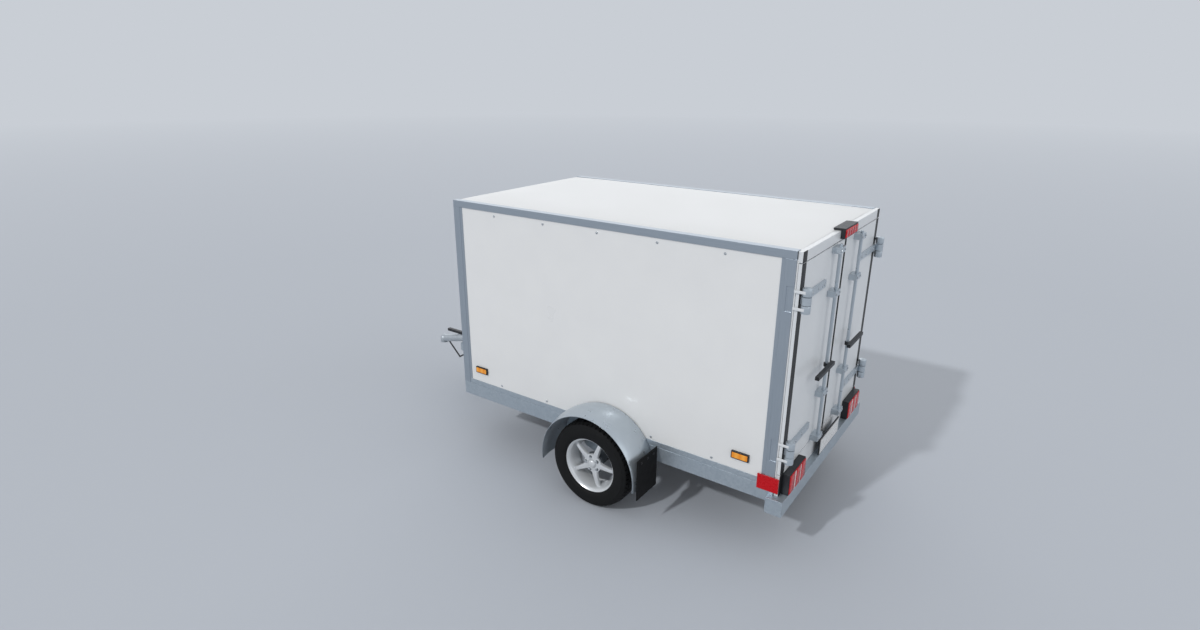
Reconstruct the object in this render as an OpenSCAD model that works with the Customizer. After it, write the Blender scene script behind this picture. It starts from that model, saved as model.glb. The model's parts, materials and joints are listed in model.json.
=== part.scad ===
// Single-axle box trailer with two rear doors, on its wheels and jockey wheel.
// +X is the towing direction, +Y the left side, +Z up. The ground is z = 0.

/* [Body] */
// Length of the box body
body_l = 2500; // [2000:10:3200]
// Width of the box body
body_w = 1500; // [1200:10:1900]
// Height from the top of the side rails to the top of the top rails
body_h = 1400; // [1100:10:1900]
// Thickness of the side and front panels
panel_t = 20; // [12:1:30]
// How far the panels lie inside the face of the posts
panel_in = 6; // [2:1:12]
// Thickness of the floor panel
floor_t = 18; // [12:1:27]
// Thickness of the roof panel
roof_t = 22; // [14:1:30]
// Drop of the roof from its flat middle to its side edges
roof_drop = 32; // [10:1:60]
// Width over which each side of the roof curves down
roof_curve = 320; // [150:10:500]
// How far the middle of the roof lies under the top of the top rails
roof_low = 8; // [0:1:20]

/* [Frame profiles] */
// Height of the side rails
rail_h = 100; // [80:5:160]
// Flange width of the side rails
rail_w = 48; // [40:1:60]
// Sheet thickness of the side rails
rail_t = 4; // [3:0.5:6]
// Height of the floor edge profile above the side rail
edge_h = 36; // [25:1:50]
// Width of the corner posts
post_w = 58; // [50:1:80]
// Wall of the corner posts
post_wall = 6; // [5:0.5:8]
// Width of the post flanges that cover the panel edges
flange_w = 22; // [12:1:30]
// Height of the top rails
top_h = 46; // [40:1:70]
// Width of the top rails
top_w = 50; // [40:1:60]
// Wall of the top rails
top_wall = 4; // [3:0.5:6]
// Width of the crossmembers
cross_w = 50; // [40:1:78]
// Number of crossmembers
cross_n = 4; // [3:1:6]

/* [Rear beam] */
// Height of the rear beam
beam_h = 100; // [60:1:120]
// Height of the top of the rear beam above the rail bottom
beam_top = 45; // [10:1:60]
// How far the rear beam reaches forward under the rails
beam_fore = 30; // [20:1:80]
// How far the rear beam stands behind the body
beam_aft = 74; // [70:1:140]
// How far the rear beam stands out at each side
beam_out = 36; // [10:1:40]

/* [Rear doors] */
// Thickness of each door
door_t = 22; // [16:1:35]
// Gap between each door and the rear frame
door_gap = 8; // [6:1:12]
// Gap between the outer edge of a door and the side of the body
door_edge = 12; // [10:1:20]
// Gap between the two doors
door_mid = 8; // [8:1:14]
// Gap above and below each door
door_run = 6; // [5:1:12]
// Height of the top of the fixed sill above the rail bottom
sill_h = 180; // [150:1:220]
// Height of the fixed header below the top of the body
header_h = 62; // [40:1:120]
// Width of the outer door seal
seal_w = 56; // [30:1:80]
// Width of the inner door seal
seal_mid_w = 14; // [8:1:30]
// Thickness of the door seals
seal_t = 3; // [2:0.5:6]

/* [Door hinges] */
// Radius of the hinge barrels
barrel_r = 26; // [16:1:30]
// Length of each of the three barrels of a hinge
barrel_l = 44; // [30:1:60]
// Gap between the barrels of a hinge
barrel_gap = 3; // [1:0.5:6]
// Distance of the hinge axis behind the face of the door
hinge_off = 33; // [30:1:45]
// Distance of the hinge axis from the side of the body
hinge_in = 28; // [24:1:40]
// Radius of the hinge pin
hinge_pin_r = 8; // [5:0.5:12]
// Running clearance on radius of all pins and shafts
run_gap = 0.05; // [0.01:0.01:0.1]
// Height of the lower hinges above the rail bottom
hinge_low = 269; // [240:1:500]
// Height of the upper hinges above the rail bottom
hinge_high = 1170; // [900:5:1290]
// Length of the hinge straps from the axis
strap_l = 380; // [200:5:520]
// Height of the hinge straps
strap_h = 42; // [25:1:60]
// Thickness of the hinge straps
strap_t = 14; // [8:1:16]
// Thickness of the fixed hinge plates
plate_t = 4; // [3:0.5:5]
// How far the fixed hinge plates reach along the posts
plate_l = 40; // [20:1:50]

/* [Door locks] */
// Distance of the lock rods from the middle of the body
rod_y = 212; // [100:1:400]
// Radius of the lock rods
rod_r = 10; // [7:0.5:14]
// Distance of the lock rod axis behind the face of the door
rod_off = 35; // [18:1:40]
// Width of the rod guides
guide_w = 90; // [60:1:140]
// Depth of the rod guides
guide_d = 50; // [38:1:70]
// Height of the rod guides
guide_h = 36; // [20:1:60]
// Heights of the four rod guides above the rail bottom
guide_zs = [212, 514, 1152, 1410];
// Height of the door handles above the rail bottom
handle_z = 700; // [600:1:1000]
// Length of the door handles
handle_l = 295; // [120:5:320]
// Height of the door handles
handle_h = 22; // [16:1:40]
// Depth of the door handles
handle_d = 24; // [12:1:30]
// How far the door handles reach from the rod towards the middle
handle_in = 54; // [20:1:80]

/* [Wheels] */
// Diameter of the tyres
tyre_d = 600; // [520:1:680]
// Width of the tyres
tyre_w = 180; // [145:1:205]
// Diameter of the rims at the bead seats
rim_d = 356; // [305:1:382]
// Gap between the tyres and the side of the body
wheel_gap = 40; // [35:1:80]
// Distance of the wheel axis behind the front of the body
axle_x = 1340; // [1100:5:1700]
// Height of the rail bottom above the wheel axis
axle_drop = 70; // [60:1:140]
// Radius of the stub shafts
stub_r = 17; // [12:0.5:22]
// Number of spokes of each rim
spoke_n = 5; // [4:1:8]
// Turn of the first spoke from straight up, towards the rear (degrees)
spoke_turn = 21; // [0:1:36]

/* [Axle] */
// Side of the square axle tube
axle_tube = 60; // [50:1:70]
// Distance of the axle tube ahead of the wheel axis
arm_l = 140; // [110:1:180]
// Thickness of the suspension arms
arm_t = 24; // [16:1:30]

/* [Mudguards] */
// Inner radius of the mudguards at their crown
guard_r = 381; // [350:1:420]
// Width of the mudguards
guard_w = 250; // [200:1:260]
// Sheet thickness of the mudguards
guard_t = 4; // [3:0.5:6]
// How far the edges of the mudguards lie below the crown
guard_crown = 22; // [10:1:40]
// How far the mudguards reach below the wheel axis, in degrees
guard_low = 8; // [0:1:20]
// Height of the mudflaps
flap_h = 280; // [120:5:280]
// Height of the lower edge of the mudflaps above the ground
flap_low = 205; // [120:5:260]
// Thickness of the mudflaps
flap_t = 6; // [4:1:10]

/* [Drawbar] */
// Distance of the ball centre ahead of the front of the body
ball_x = 1056; // [950:1:1600]
// Height of the ball centre below the rail bottom
ball_low = 30; // [10:1:60]
// Radius of the towing ball
ball_r = 25; // [25:0.5:25.4]
// Height of the drawbar tubes
bar_h = 70; // [60:1:90]
// Width of the drawbar tubes
bar_w = 50; // [40:1:60]
// Distance of the front ends of the drawbar tubes ahead of the front of the body
bar_tip = 780; // [700:5:860]
// Distance of the rear ends of the drawbar tubes behind the front of the body
bar_back = 900; // [700:10:1000]
// Distance of the rear ends of the drawbar tubes from the middle
bar_spread = 520; // [400:10:620]
// Radius of the coupling shank
shank_r = 33; // [30:0.5:35]
// Height of the shank's foot under its round part
shank_lift = 1; // [1:1:6]
// Length of the grip of the coupling handle
grip_l = 182; // [120:1:220]
// Distance of the front end of the grip behind the ball centre
grip_back = 68; // [50:1:110]
// Height of the underside of the grip above the rail bottom
grip_z = 64; // [62:1:90]
// Height of the grip
grip_h = 24; // [18:1:32]
// Radius of the bent guard rod under the coupling
guard_rod_r = 7; // [5:0.5:10]

/* [Jockey wheel] */
// Distance of the jockey stand ahead of the front of the body
jockey_x = 560; // [420:5:640]
// Outer radius of the jockey tube
jockey_r = 24; // [20:0.5:30]
// Length of the jockey tube
jockey_l = 420; // [360:5:600]
// Radius of the jockey wheel
jockey_wheel_r = 100; // [80:1:110]
// Width of the jockey wheel
jockey_wheel_w = 60; // [40:1:80]
// Trail of the jockey wheel
jockey_trail = 40; // [20:1:60]

/* [Lamps] */
// Width of the tail lamps
lamp_w = 265; // [150:5:280]
// Height of the tail lamps
lamp_h = 134; // [80:1:134]
// Depth of the tail lamp housings
lamp_d = 44; // [25:1:44]
// Thickness of the lamp lenses
lens_t = 6; // [4:1:12]
// Gap between the tail lamps and the side of the body
lamp_in = 50; // [20:5:160]
// Length of the side marker lamps
marker_l = 112; // [80:1:130]
// Height of the side marker lamps
marker_h = 48; // [30:1:60]
// Distance of the front markers behind the front of the body
marker_front = 192; // [140:1:400]
// Distance of the rear markers ahead of the rear of the body
marker_rear = 216; // [150:1:400]
// Height of the markers above the rail bottom
marker_z = 233; // [190:1:400]
// Length of the side reflectors
reflector_l = 130; // [80:1:150]
// Height of the side reflectors
reflector_h = 95; // [40:1:95]
// Height of the lower edge of the side reflectors above the rail bottom
reflector_z = 70; // [10:1:80]
// How far the side reflectors stand out behind the body
reflector_out = 30; // [0:1:40]
// Width of the brake lamp
brake_w = 250; // [150:5:400]
// Height of the brake lamp
brake_h = 50; // [30:1:56]
// Width of the number plate
number_w = 370; // [250:5:520]
// Height of the number plate
number_h = 100; // [80:1:105]
// Height of the lower edge of the number plate above the rear beam
number_z = 6; // [0:1:20]
// Distance of the number plate from the middle of the body, to the right
number_y = 40; // [0:1:120]

/* [Hidden] */
$fn = 64;
cut = 1;

// Colours
galvanised = [0.62, 0.66, 0.70];
white_paint = [0.90, 0.91, 0.92];
door_paint = [0.80, 0.82, 0.84];
black_rubber = [0.06, 0.06, 0.07];
red_lens = [0.75, 0.05, 0.08];
amber_lens = [0.95, 0.60, 0.15];
rim_silver = [0.80, 0.81, 0.83];

// The origin is on the ground under the middle of the whole trailer
nose_wall = 13;
nose_r = ball_r + nose_wall;
nose_reach = ball_x + nose_r;
face_back = door_gap + door_t;
hinge_reach = face_back + hinge_off + barrel_r;
rear_reach = max(beam_aft, hinge_reach);
front_x = (body_l + rear_reach - nose_reach) / 2;
rear_x = front_x - body_l;
door_x = rear_x - face_back;

// Levels
axle_z = tyre_d / 2;
rail_z = axle_z + axle_drop;
rail_top = rail_z + rail_h;
body_top = rail_top + body_h;
post_top = body_top - top_h;
roof_under = body_top - roof_low - roof_drop - roof_t;
header_bar = 44;
panel_z0 = rail_top + rail_t;
beam_z = rail_z + beam_top;
sill_z = rail_z + sill_h;
header_z = body_top - header_h;
header_top = body_top - 3;

// Sides
side_y = body_w / 2;
panel_y1 = side_y - panel_in;
panel_y0 = panel_y1 - panel_t;
roof_y = side_y - top_w;
post_in = side_y - post_w;

// Doors
door_z0 = sill_z + door_run;
door_z1 = header_z - door_run;
door_y0 = door_mid / 2;
door_y1 = side_y - door_edge;
hinge_x = door_x - hinge_off;
hinge_y = side_y - hinge_in;
barrel_step = barrel_l + barrel_gap;
hinge_h = 3 * barrel_l + 2 * barrel_gap;
hinge_zs = [rail_z + hinge_low, rail_z + hinge_high];
rod_x = door_x - rod_off;
rod_over = 16;

// Wheels
wheel_x = front_x - axle_x;
wheel_y0 = side_y + wheel_gap;
wheel_y1 = wheel_y0 + tyre_w;
wheel_mid = (wheel_y0 + wheel_y1) / 2;
rim_r = rim_d / 2;
flange_r = rim_r + 14;
rim_half = 70;
spoke_y = wheel_mid + 22;

// Drawbar
tip_x = front_x + bar_tip;
tip_y = bar_w / 2 + 2;
bar_dx = bar_back + bar_tip;
bar_dy = bar_spread - tip_y;
bar_len = sqrt(bar_dx * bar_dx + bar_dy * bar_dy);
bar_turn = atan2(bar_dy, bar_dx);
bar_cos = bar_dx / bar_len;
bar_sin = bar_dy / bar_len;
ball_cx = front_x + ball_x;
ball_z = rail_z - ball_low;
block_x0 = tip_x - 120;
block_x1 = tip_x + 7;
base_half = shank_r - 5;
tip_solid = 160;
cup_cut = 6;
shank_x0 = tip_x - 110;
neck_x = tip_x + 8;
shank_z = rail_z + shank_r + shank_lift;
boss_z = rail_z + grip_z - 2;
link_x0 = ball_cx - grip_back - grip_l + 8;
link_x1 = link_x0 + 34;
rod_top_x = ball_cx - 50;
rod_top_z = ball_z - 6;
rod_low_x = ball_cx - 192;
rod_low_z = rail_z - 175;
rod_end_x = block_x0 + 14;

// Lamps and number plate
lens_rim = 5;
brake_d = 26;
brake_cap = 12;
brake_hook = 14;
number_x = door_x - 41;
number_back = 8;
number_rim = 8;
number_t = 3;

// Jockey stand
jockey_cx = front_x + jockey_x;
jockey_gap_y = tip_y + (bar_tip - jockey_x) * bar_dy / bar_dx;
jockey_z0 = 2 * jockey_wheel_r + 20;
stem_r = 12;

// A point of the left drawbar tube, by the way along it and the way out from its middle
function bar_at(s, off) =
  [tip_x - s * bar_cos + off * bar_sin, tip_y + s * bar_sin + off * bar_cos];

// The distance from the middle of a line along the tube, at a place along the trailer
function bar_y(x, off) =
  tip_y + off * bar_cos + (tip_x + off * bar_sin - x) * bar_dy / bar_dx;

// A box between two corners
module block(x0, x1, y0, y1, z0, z1) {
  translate([x0, y0, z0]) cube([x1 - x0, y1 - y0, z1 - z0]);
}

// The same piece at the left and, mirrored, at the right
module both_sides() {
  children();
  mirror([0, 1, 0]) children();
}

// A tube along X with a rectangular section and open ends
module tube_x(x0, x1, y0, y1, z0, z1, wall) {
  difference() {
    block(x0, x1, y0, y1, z0, z1);
    block(x0 - cut, x1 + cut, y0 + wall, y1 - wall, z0 + wall, z1 - wall);
  }
}

// A round bar between two points in the plane y = 0
module bar_xz(x0, z0, x1, z1, r) {
  len = sqrt((x1 - x0) * (x1 - x0) + (z1 - z0) * (z1 - z0));
  translate([x0, 0, z0]) rotate([0, atan2(x1 - x0, z1 - z0), 0]) cylinder(h = len, r = r);
}

// ---- Chassis ----

module side_rails() {
  color(galvanised) both_sides() difference() {
    block(rear_x, front_x, side_y - rail_w, side_y, rail_z, rail_top);
    block(rear_x - cut, front_x + cut, side_y - rail_w - cut, side_y - rail_t,
      rail_z + rail_t, rail_top - rail_t);
  }
}

module crossmembers() {
  pitch = (body_l - cross_w) / (cross_n - 1);
  inner = side_y - rail_w;
  color(galvanised) for (i = [0:cross_n - 1]) {
    x0 = front_x - cross_w - i * pitch;
    difference() {
      block(x0, x0 + cross_w, -inner, inner, rail_z, rail_top);
      block(x0 + rail_t, x0 + cross_w - rail_t, -inner - cut, inner + cut,
        rail_z + rail_t, rail_top - rail_t);
    }
  }
}

// A folded beam, open below: it runs under the rails and stands up behind and beside them
module rear_beam() {
  half = side_y + beam_out;
  x0 = rear_x - beam_aft;
  x1 = rear_x + beam_fore;
  z0 = beam_z - beam_h;
  t = rail_t;
  color(galvanised) difference() {
    union() {
      block(x0, rear_x, -half, half, z0, beam_z);
      block(x0, x1, -half, half, z0, rail_z);
      both_sides() block(x0, x1, side_y, half, z0, beam_z);
    }
    block(x0 + t, rear_x - t, -half + t, half - t, z0 - cut, beam_z - t);
    block(x0 + t, x1 - t, -half + t, half - t, z0 - cut, rail_z - t);
    both_sides() block(x0 + t, x1 - t, side_y + t, half - t, z0 - cut, beam_z - t);
  }
}

// A V of two hollow tubes, solid where they meet
module drawbar() {
  half = bar_w / 2;
  edge = [[block_x1, bar_y(block_x1, half)], bar_at(bar_len, half), bar_at(bar_len, -half),
    [block_x0, bar_y(block_x0, -half)]];
  other = [for (i = [3:-1:0]) [edge[i][0], -edge[i][1]]];
  bore = half - rail_t;
  color(galvanised) difference() {
    translate([0, 0, rail_z - bar_h]) linear_extrude(height = bar_h)
      polygon(concat(edge, other));
    both_sides() translate([0, 0, rail_z - bar_h + rail_t])
      linear_extrude(height = bar_h - 2 * rail_t)
        polygon([bar_at(tip_solid, bore), bar_at(bar_len + cut, bore),
          bar_at(bar_len + cut, -bore), bar_at(tip_solid, -bore)]);
  }
}

// The neck of the coupling, from the end of the shank down to the ball
module neck() {
  bar_xz(neck_x, shank_z, ball_cx, ball_z, shank_r);
}

// The shank stands on the tip of the drawbar, and the ball cup sits lower at its end
module coupling_head() {
  cup_z = ball_z - nose_r + cup_cut;
  color(rim_silver) difference() {
    union() {
      translate([shank_x0, 0, shank_z]) rotate([0, 90, 0])
        cylinder(h = neck_x - shank_x0, r = shank_r);
      block(shank_x0, neck_x, -base_half, base_half, rail_z, shank_z);
      translate([neck_x, 0, shank_z + 1]) sphere(r = shank_r + 1);
      neck();
      block(link_x0 - 6, link_x1 + 6, -16, 16, shank_z - 20, boss_z);
      translate([ball_cx, 0, ball_z]) sphere(r = nose_r);
      translate([ball_cx, 0, cup_z]) cylinder(h = ball_z - cup_z, r = nose_r);
    }
    translate([ball_cx, 0, ball_z]) sphere(r = ball_r);
    translate([ball_cx, 0, cup_z - cut]) cylinder(h = ball_z - cup_z + cut, r = ball_r);
    block(ball_cx - nose_r - 40, ball_cx + nose_r + cut, -nose_r - cut, nose_r + cut,
      cup_z - nose_r, cup_z);
  }
}

module coupling_handle() {
  x1 = ball_cx - grip_back;
  z0 = rail_z + grip_z;
  color(black_rubber) {
    block(x1 - grip_l, x1, -15, 15, z0, z0 + grip_h);
    block(link_x0, link_x1, -10, 10, boss_z, z0);
  }
}

// A rod bent in the plane y = 0, from the neck down and back up to the drawbar
module coupling_guard_rod() {
  color(black_rubber) difference() {
    union() {
      bar_xz(rod_top_x, rod_top_z, rod_low_x, rod_low_z, guard_rod_r);
      translate([rod_low_x, 0, rod_low_z]) sphere(r = guard_rod_r + 1);
      bar_xz(rod_low_x, rod_low_z, rod_end_x, rail_z - bar_h + guard_rod_r + 3, guard_rod_r);
    }
    neck();
    block(block_x0, block_x1, -base_half, base_half, rail_z - bar_h, rail_z);
  }
}

// ---- Jockey stand ----

module jockey_clamp() {
  z0 = rail_z - bar_h + 8;
  z1 = rail_z - 8;
  half = jockey_gap_y - bar_w / 2 / cos(bar_turn);
  lean = 30 * bar_dy / bar_dx;
  color(galvanised) difference() {
    translate([jockey_cx, 0, z0]) linear_extrude(height = z1 - z0)
      polygon([[-30, -half - lean], [30, -half + lean], [30, half - lean], [-30, half + lean]]);
    translate([jockey_cx, 0, z0 - cut])
      cylinder(h = z1 - z0 + 2 * cut, r = jockey_r + run_gap);
  }
}

module jockey_tube() {
  top = jockey_z0 + jockey_l;
  color(galvanised) difference() {
    union() {
      translate([jockey_cx, 0, jockey_z0]) cylinder(h = jockey_l, r = jockey_r);
      translate([jockey_cx, 0, top]) cylinder(h = 22, r = jockey_r - 6);
      block(jockey_cx - 120, jockey_cx + 10, -9, 9, top + 10, top + 20);
      translate([jockey_cx - 108, 0, top + 20]) cylinder(h = 70, r = 11);
    }
    translate([jockey_cx, 0, jockey_z0 - cut]) cylinder(h = 120, r = stem_r + run_gap);
  }
}

module jockey_fork() {
  cheek_y = jockey_wheel_w / 2 + 6;
  ax = jockey_cx - jockey_trail;
  color(galvanised) {
    translate([jockey_cx, 0, jockey_z0 - 10]) cylinder(h = 100, r = stem_r);
    block(ax - 26, jockey_cx + 22, -cheek_y - 5, cheek_y + 5, jockey_z0 - 12, jockey_z0 - 4);
    both_sides() difference() {
      hull() {
        translate([ax, cheek_y + 5, jockey_wheel_r]) rotate([90, 0, 0]) cylinder(h = 5, r = 20, $fn = 32);
        block(ax - 26, jockey_cx + 22, cheek_y, cheek_y + 5, jockey_z0 - 12, jockey_z0 - 4);
      }
    }
    translate([ax, cheek_y + 5, jockey_wheel_r]) rotate([90, 0, 0])
      cylinder(h = 2 * cheek_y + 10, r = 8);
  }
}

module jockey_roller() {
  ax = jockey_cx - jockey_trail;
  half = jockey_wheel_w / 2;
  color(black_rubber) translate([ax, 0, jockey_wheel_r]) rotate([90, 0, 0])
    rotate_extrude() polygon([[8 + run_gap, -half], [34, -half], [34, -half + 8],
      [jockey_wheel_r - 26, -half + 8], [jockey_wheel_r - 14, -half],
      [jockey_wheel_r - 5, -half + 4], [jockey_wheel_r, -half + 14],
      [jockey_wheel_r, half - 14], [jockey_wheel_r - 5, half - 4],
      [jockey_wheel_r - 14, half], [jockey_wheel_r - 26, half - 8], [34, half - 8],
      [34, half], [8 + run_gap, half]]);
}

// ---- Axle and wheels ----

arm_y0 = side_y + 2;
arm_x = wheel_x + arm_l;
tube_z = rail_z - axle_tube / 2;
tube_wall = 5;

module axle_beam() {
  color(galvanised) difference() {
    block(arm_x - axle_tube / 2, arm_x + axle_tube / 2, -side_y, side_y,
      rail_z - axle_tube, rail_z);
    block(arm_x - axle_tube / 2 + tube_wall, arm_x + axle_tube / 2 - tube_wall,
      -side_y - cut, side_y + cut, rail_z - axle_tube + tube_wall, rail_z - tube_wall);
  }
}

// Each arm turns on a square core in the axle tube and carries a stub shaft
module axle_arms() {
  core = axle_tube / 2 - tube_wall;
  color(galvanised) both_sides() {
    block(arm_x - core, arm_x + core, side_y - 120, arm_y0 + 1, tube_z - core, tube_z + core);
    hull() {
      translate([arm_x, arm_y0 + arm_t, tube_z]) rotate([90, 0, 0])
        cylinder(h = arm_t, r = 30, $fn = 32);
      translate([wheel_x, arm_y0 + arm_t, axle_z]) rotate([90, 0, 0])
        cylinder(h = arm_t, r = 30, $fn = 32);
    }
    translate([wheel_x, spoke_y - 6, axle_z]) rotate([90, 0, 0])
      cylinder(h = spoke_y - 6 - arm_y0, r = stub_r);
  }
}

// A ring turned about the wheel axis, from points of radius and distance along the axis
module wheel_ring(points) {
  translate([wheel_x, 0, axle_z]) rotate([-90, 0, 0]) rotate_extrude($fn = 128)
    polygon(points);
}

module tyre() {
  r = tyre_d / 2;
  half = tyre_w / 2;
  mid = wheel_mid;
  side_r = (r + rim_r) / 2;
  color(black_rubber) wheel_ring([
    for (s = [-1, 1]) each (s < 0
      ? [[rim_r, mid - rim_half + 8], [flange_r + 6, mid - rim_half - 4],
        [side_r, mid - half], [r - 26, mid - half + 6], [r - 8, mid - half + 20],
        [r, mid - half + 38]]
      : [[r, mid + half - 38], [r - 8, mid + half - 20], [r - 26, mid + half - 6],
        [side_r, mid + half], [flange_r + 6, mid + rim_half + 4],
        [rim_r, mid + rim_half - 8]])]);
}

module rim() {
  lip = 8;
  wall = 7;
  well = 26;
  m = wheel_mid;
  h = rim_half;
  disc_t = 22;
  color(rim_silver) {
    wheel_ring([[rim_r - wall, m - h - 6], [flange_r, m - h - 6], [flange_r, m - h - 1],
      [rim_r, m - h + lip], [rim_r, m - h + 30], [rim_r - well, m - h + 48],
      [rim_r - well, m + h - 60], [rim_r, m + h - 36], [rim_r, m + h - lip],
      [flange_r, m + h + 1], [flange_r, m + h + 6], [rim_r - wall, m + h + 6],
      [rim_r - wall, m + h - 34], [rim_r - well - wall, m + h - 58],
      [rim_r - well - wall, m - h + 46], [rim_r - wall, m - h + 28]]);
    difference() {
      union() {
        for (i = [0:spoke_n - 1])
          translate([wheel_x, spoke_y + disc_t - 1, axle_z]) rotate([90, 0, 0])
            rotate([0, 0, 90 + spoke_turn + i * 360 / spoke_n])
              linear_extrude(height = disc_t - 2)
              polygon([[60, -24], [rim_r - 14, -13], [rim_r - 14, 13], [60, 24]]);
        wheel_ring([[50, spoke_y], [74, spoke_y], [74, spoke_y + disc_t],
          [50, spoke_y + disc_t]]);
      }
      for (i = [0:4]) translate([wheel_x, spoke_y + disc_t + cut, axle_z])
        rotate([90, 0, 0]) rotate([0, 0, 126 + spoke_turn + i * 72]) translate([62, 0, 0])
          cylinder(h = disc_t + 2 * cut, r = 7);
    }
  }
}

// The hub turns on the stub shaft, and the rim seats on its flange
module hub() {
  disc_t = 22;
  color(galvanised) wheel_ring([[stub_r + run_gap, arm_y0 + arm_t + 6],
    [44, arm_y0 + arm_t + 6], [44, spoke_y - 14], [72, spoke_y - 14], [72, spoke_y],
    [50, spoke_y], [50, spoke_y + disc_t], [34, spoke_y + disc_t + 12],
    [0, spoke_y + disc_t + 12], [0, spoke_y - 5], [stub_r + run_gap, spoke_y - 5]]);
}

module mudguards() {
  inner = side_y;
  w = guard_w;
  steps = 8;
  arc = [for (i = [0:steps]) let (t = i / steps)
    [guard_r - guard_crown * (2 * t - 1) * (2 * t - 1), inner + t * w]];
  outer = [for (i = [steps:-1:0]) [arc[i][0] + guard_t, arc[i][1]]];
  color(galvanised) both_sides() translate([wheel_x, 0, axle_z]) rotate([-90, 0, 0])
    rotate_extrude(angle = 180 + 2 * guard_low, start = 180 - guard_low, $fn = 128)
      polygon(concat(arc, outer));
}

module mudflaps() {
  x1 = wheel_x - guard_r - guard_t - 0.5;
  color(black_rubber) both_sides()
    block(x1 - flap_t, x1, side_y + 8, side_y + guard_w - 6, flap_low, flap_low + flap_h);
}

// ---- Body ----

module floor_panel() {
  color("burlywood") difference() {
    block(rear_x, front_x - panel_in - panel_t, -panel_y0, panel_y0, rail_top,
      rail_top + floor_t);
    both_sides() {
      block(front_x - post_w, front_x, post_in, side_y, rail_top - cut, rail_top + floor_t + cut);
      block(rear_x - cut, rear_x + post_w, post_in, side_y, rail_top - cut,
        rail_top + floor_t + cut);
    }
  }
}

// A channel along each lower panel edge, standing on the rails
module floor_edges() {
  y1 = panel_y1 + rail_t;
  x1 = front_x - panel_in;
  color(galvanised) {
    both_sides() difference() {
      block(rear_x + post_w, front_x - post_w, panel_y0, y1, rail_top, rail_top + edge_h);
      block(rear_x, front_x, panel_y0 - cut, panel_y1, panel_z0, rail_top + edge_h + cut);
    }
    difference() {
      block(x1 - panel_t, x1 + rail_t, -post_in, post_in, rail_top, rail_top + edge_h);
      block(x1 - panel_t - cut, x1, -side_y, side_y, panel_z0, rail_top + edge_h + cut);
    }
  }
}

module side_panel() {
  color(white_paint)
    block(rear_x + post_w, front_x - post_w, panel_y0, panel_y1, panel_z0, post_top);
}

module left_side_panel() side_panel();

module right_side_panel() mirror([0, 1, 0]) side_panel();

module front_panel() {
  x1 = front_x - panel_in;
  color(white_paint)
    block(x1 - panel_t, x1, -post_in, post_in, panel_z0, roof_under - header_bar);
}

// The section across the roof is flat in the middle and an arc at each side
module roof_panel() {
  curve_r = (roof_curve * roof_curve + roof_drop * roof_drop) / (2 * roof_drop);
  flat = roof_y - roof_curve;
  z1 = body_top - roof_low;
  steps = 10;
  right = [for (i = [0:steps]) let (d = roof_curve * i / steps)
    [-flat - d, z1 - curve_r + sqrt(curve_r * curve_r - d * d)]];
  left = [for (i = [steps:-1:0]) [-right[i][0], right[i][1]]];
  color(white_paint) difference() {
    translate([rear_x, 0, 0]) rotate([90, 0, 90]) linear_extrude(height = body_l)
      polygon(concat([[roof_y, roof_under]], left, right, [[-roof_y, roof_under]]));
    both_sides() for (x = [rear_x - cut, front_x - post_w])
      block(x, x + post_w + cut, post_in, side_y, roof_under - cut, post_top);
  }
}

// Square posts with a flange over the panel edge; the rear ones are let in for the hinges
module corner_posts() {
  ends = [[front_x - post_w, -1, 1], [rear_x, 1, 0]];
  color(galvanised) both_sides() for (e = ends) difference() {
    union() {
      block(e[0], e[0] + post_w, post_in, side_y, rail_top, post_top);
      flange_x = e[1] > 0 ? e[0] + post_w : e[0] - flange_w;
      block(flange_x, flange_x + flange_w, panel_y1, panel_y1 + 3, rail_top + edge_h, post_top);
    }
    block(e[0] + post_wall, e[0] + post_w - post_wall, post_in + post_wall,
      side_y - post_wall, rail_top - cut, post_top + cut);
    if (e[2] == 0) for (z = hinge_zs)
      block(rear_x - cut, rear_x + plate_l, side_y - plate_t, side_y + cut, z, z + hinge_h);
  }
}

// A rail along each side, with a cross bar under the roof at the front and the rear
module top_rails() {
  color(galvanised) {
    both_sides() tube_x(rear_x, front_x, roof_y, side_y, post_top, body_top, top_wall);
    for (x = [rear_x, front_x - header_bar])
      block(x, x + header_bar, -post_in, post_in, roof_under - header_bar, roof_under);
  }
}

// The fixed sill and header, flush with the doors
module rear_frame() {
  color(door_paint) difference() {
    union() {
      block(door_x, rear_x, -door_y1, door_y1, beam_z, sill_z);
      block(door_x, rear_x, -door_y1, door_y1, header_z, header_top);
    }
    seal_strips(beam_z - cut, sill_z + cut, cut);
    seal_strips(header_z - cut, header_top + cut, cut);
  }
}

// Flush strips on the rear face: one at each outer edge and one at each side of the middle
module seal_strips(z0, z1, over) {
  both_sides() {
    block(door_x - over, door_x + seal_t, door_y1 - seal_w, door_y1 + over, z0, z1);
    block(door_x - over, door_x + seal_t, door_y0, door_y0 + seal_mid_w, z0, z1);
  }
}

module frame_seals() {
  color(black_rubber) {
    seal_strips(beam_z, sill_z, 0);
    seal_strips(header_z, header_top, 0);
  }
}

// ---- Door hinges ----

module hinge_brackets() {
  color(galvanised) both_sides() for (z = hinge_zs) {
    for (zb = [z, z + 2 * barrel_step])
      translate([hinge_x, hinge_y, zb]) cylinder(h = barrel_l, r = barrel_r);
    translate([hinge_x, hinge_y, z]) cylinder(h = hinge_h, r = hinge_pin_r);
    difference() {
      block(hinge_x, rear_x + plate_l, side_y - plate_t, side_y, z, z + hinge_h);
      block(hinge_x - cut, hinge_x + barrel_r + 6, side_y - plate_t - cut, side_y + cut,
        z + barrel_l, z + hinge_h - barrel_l);
    }
  }
}

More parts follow.
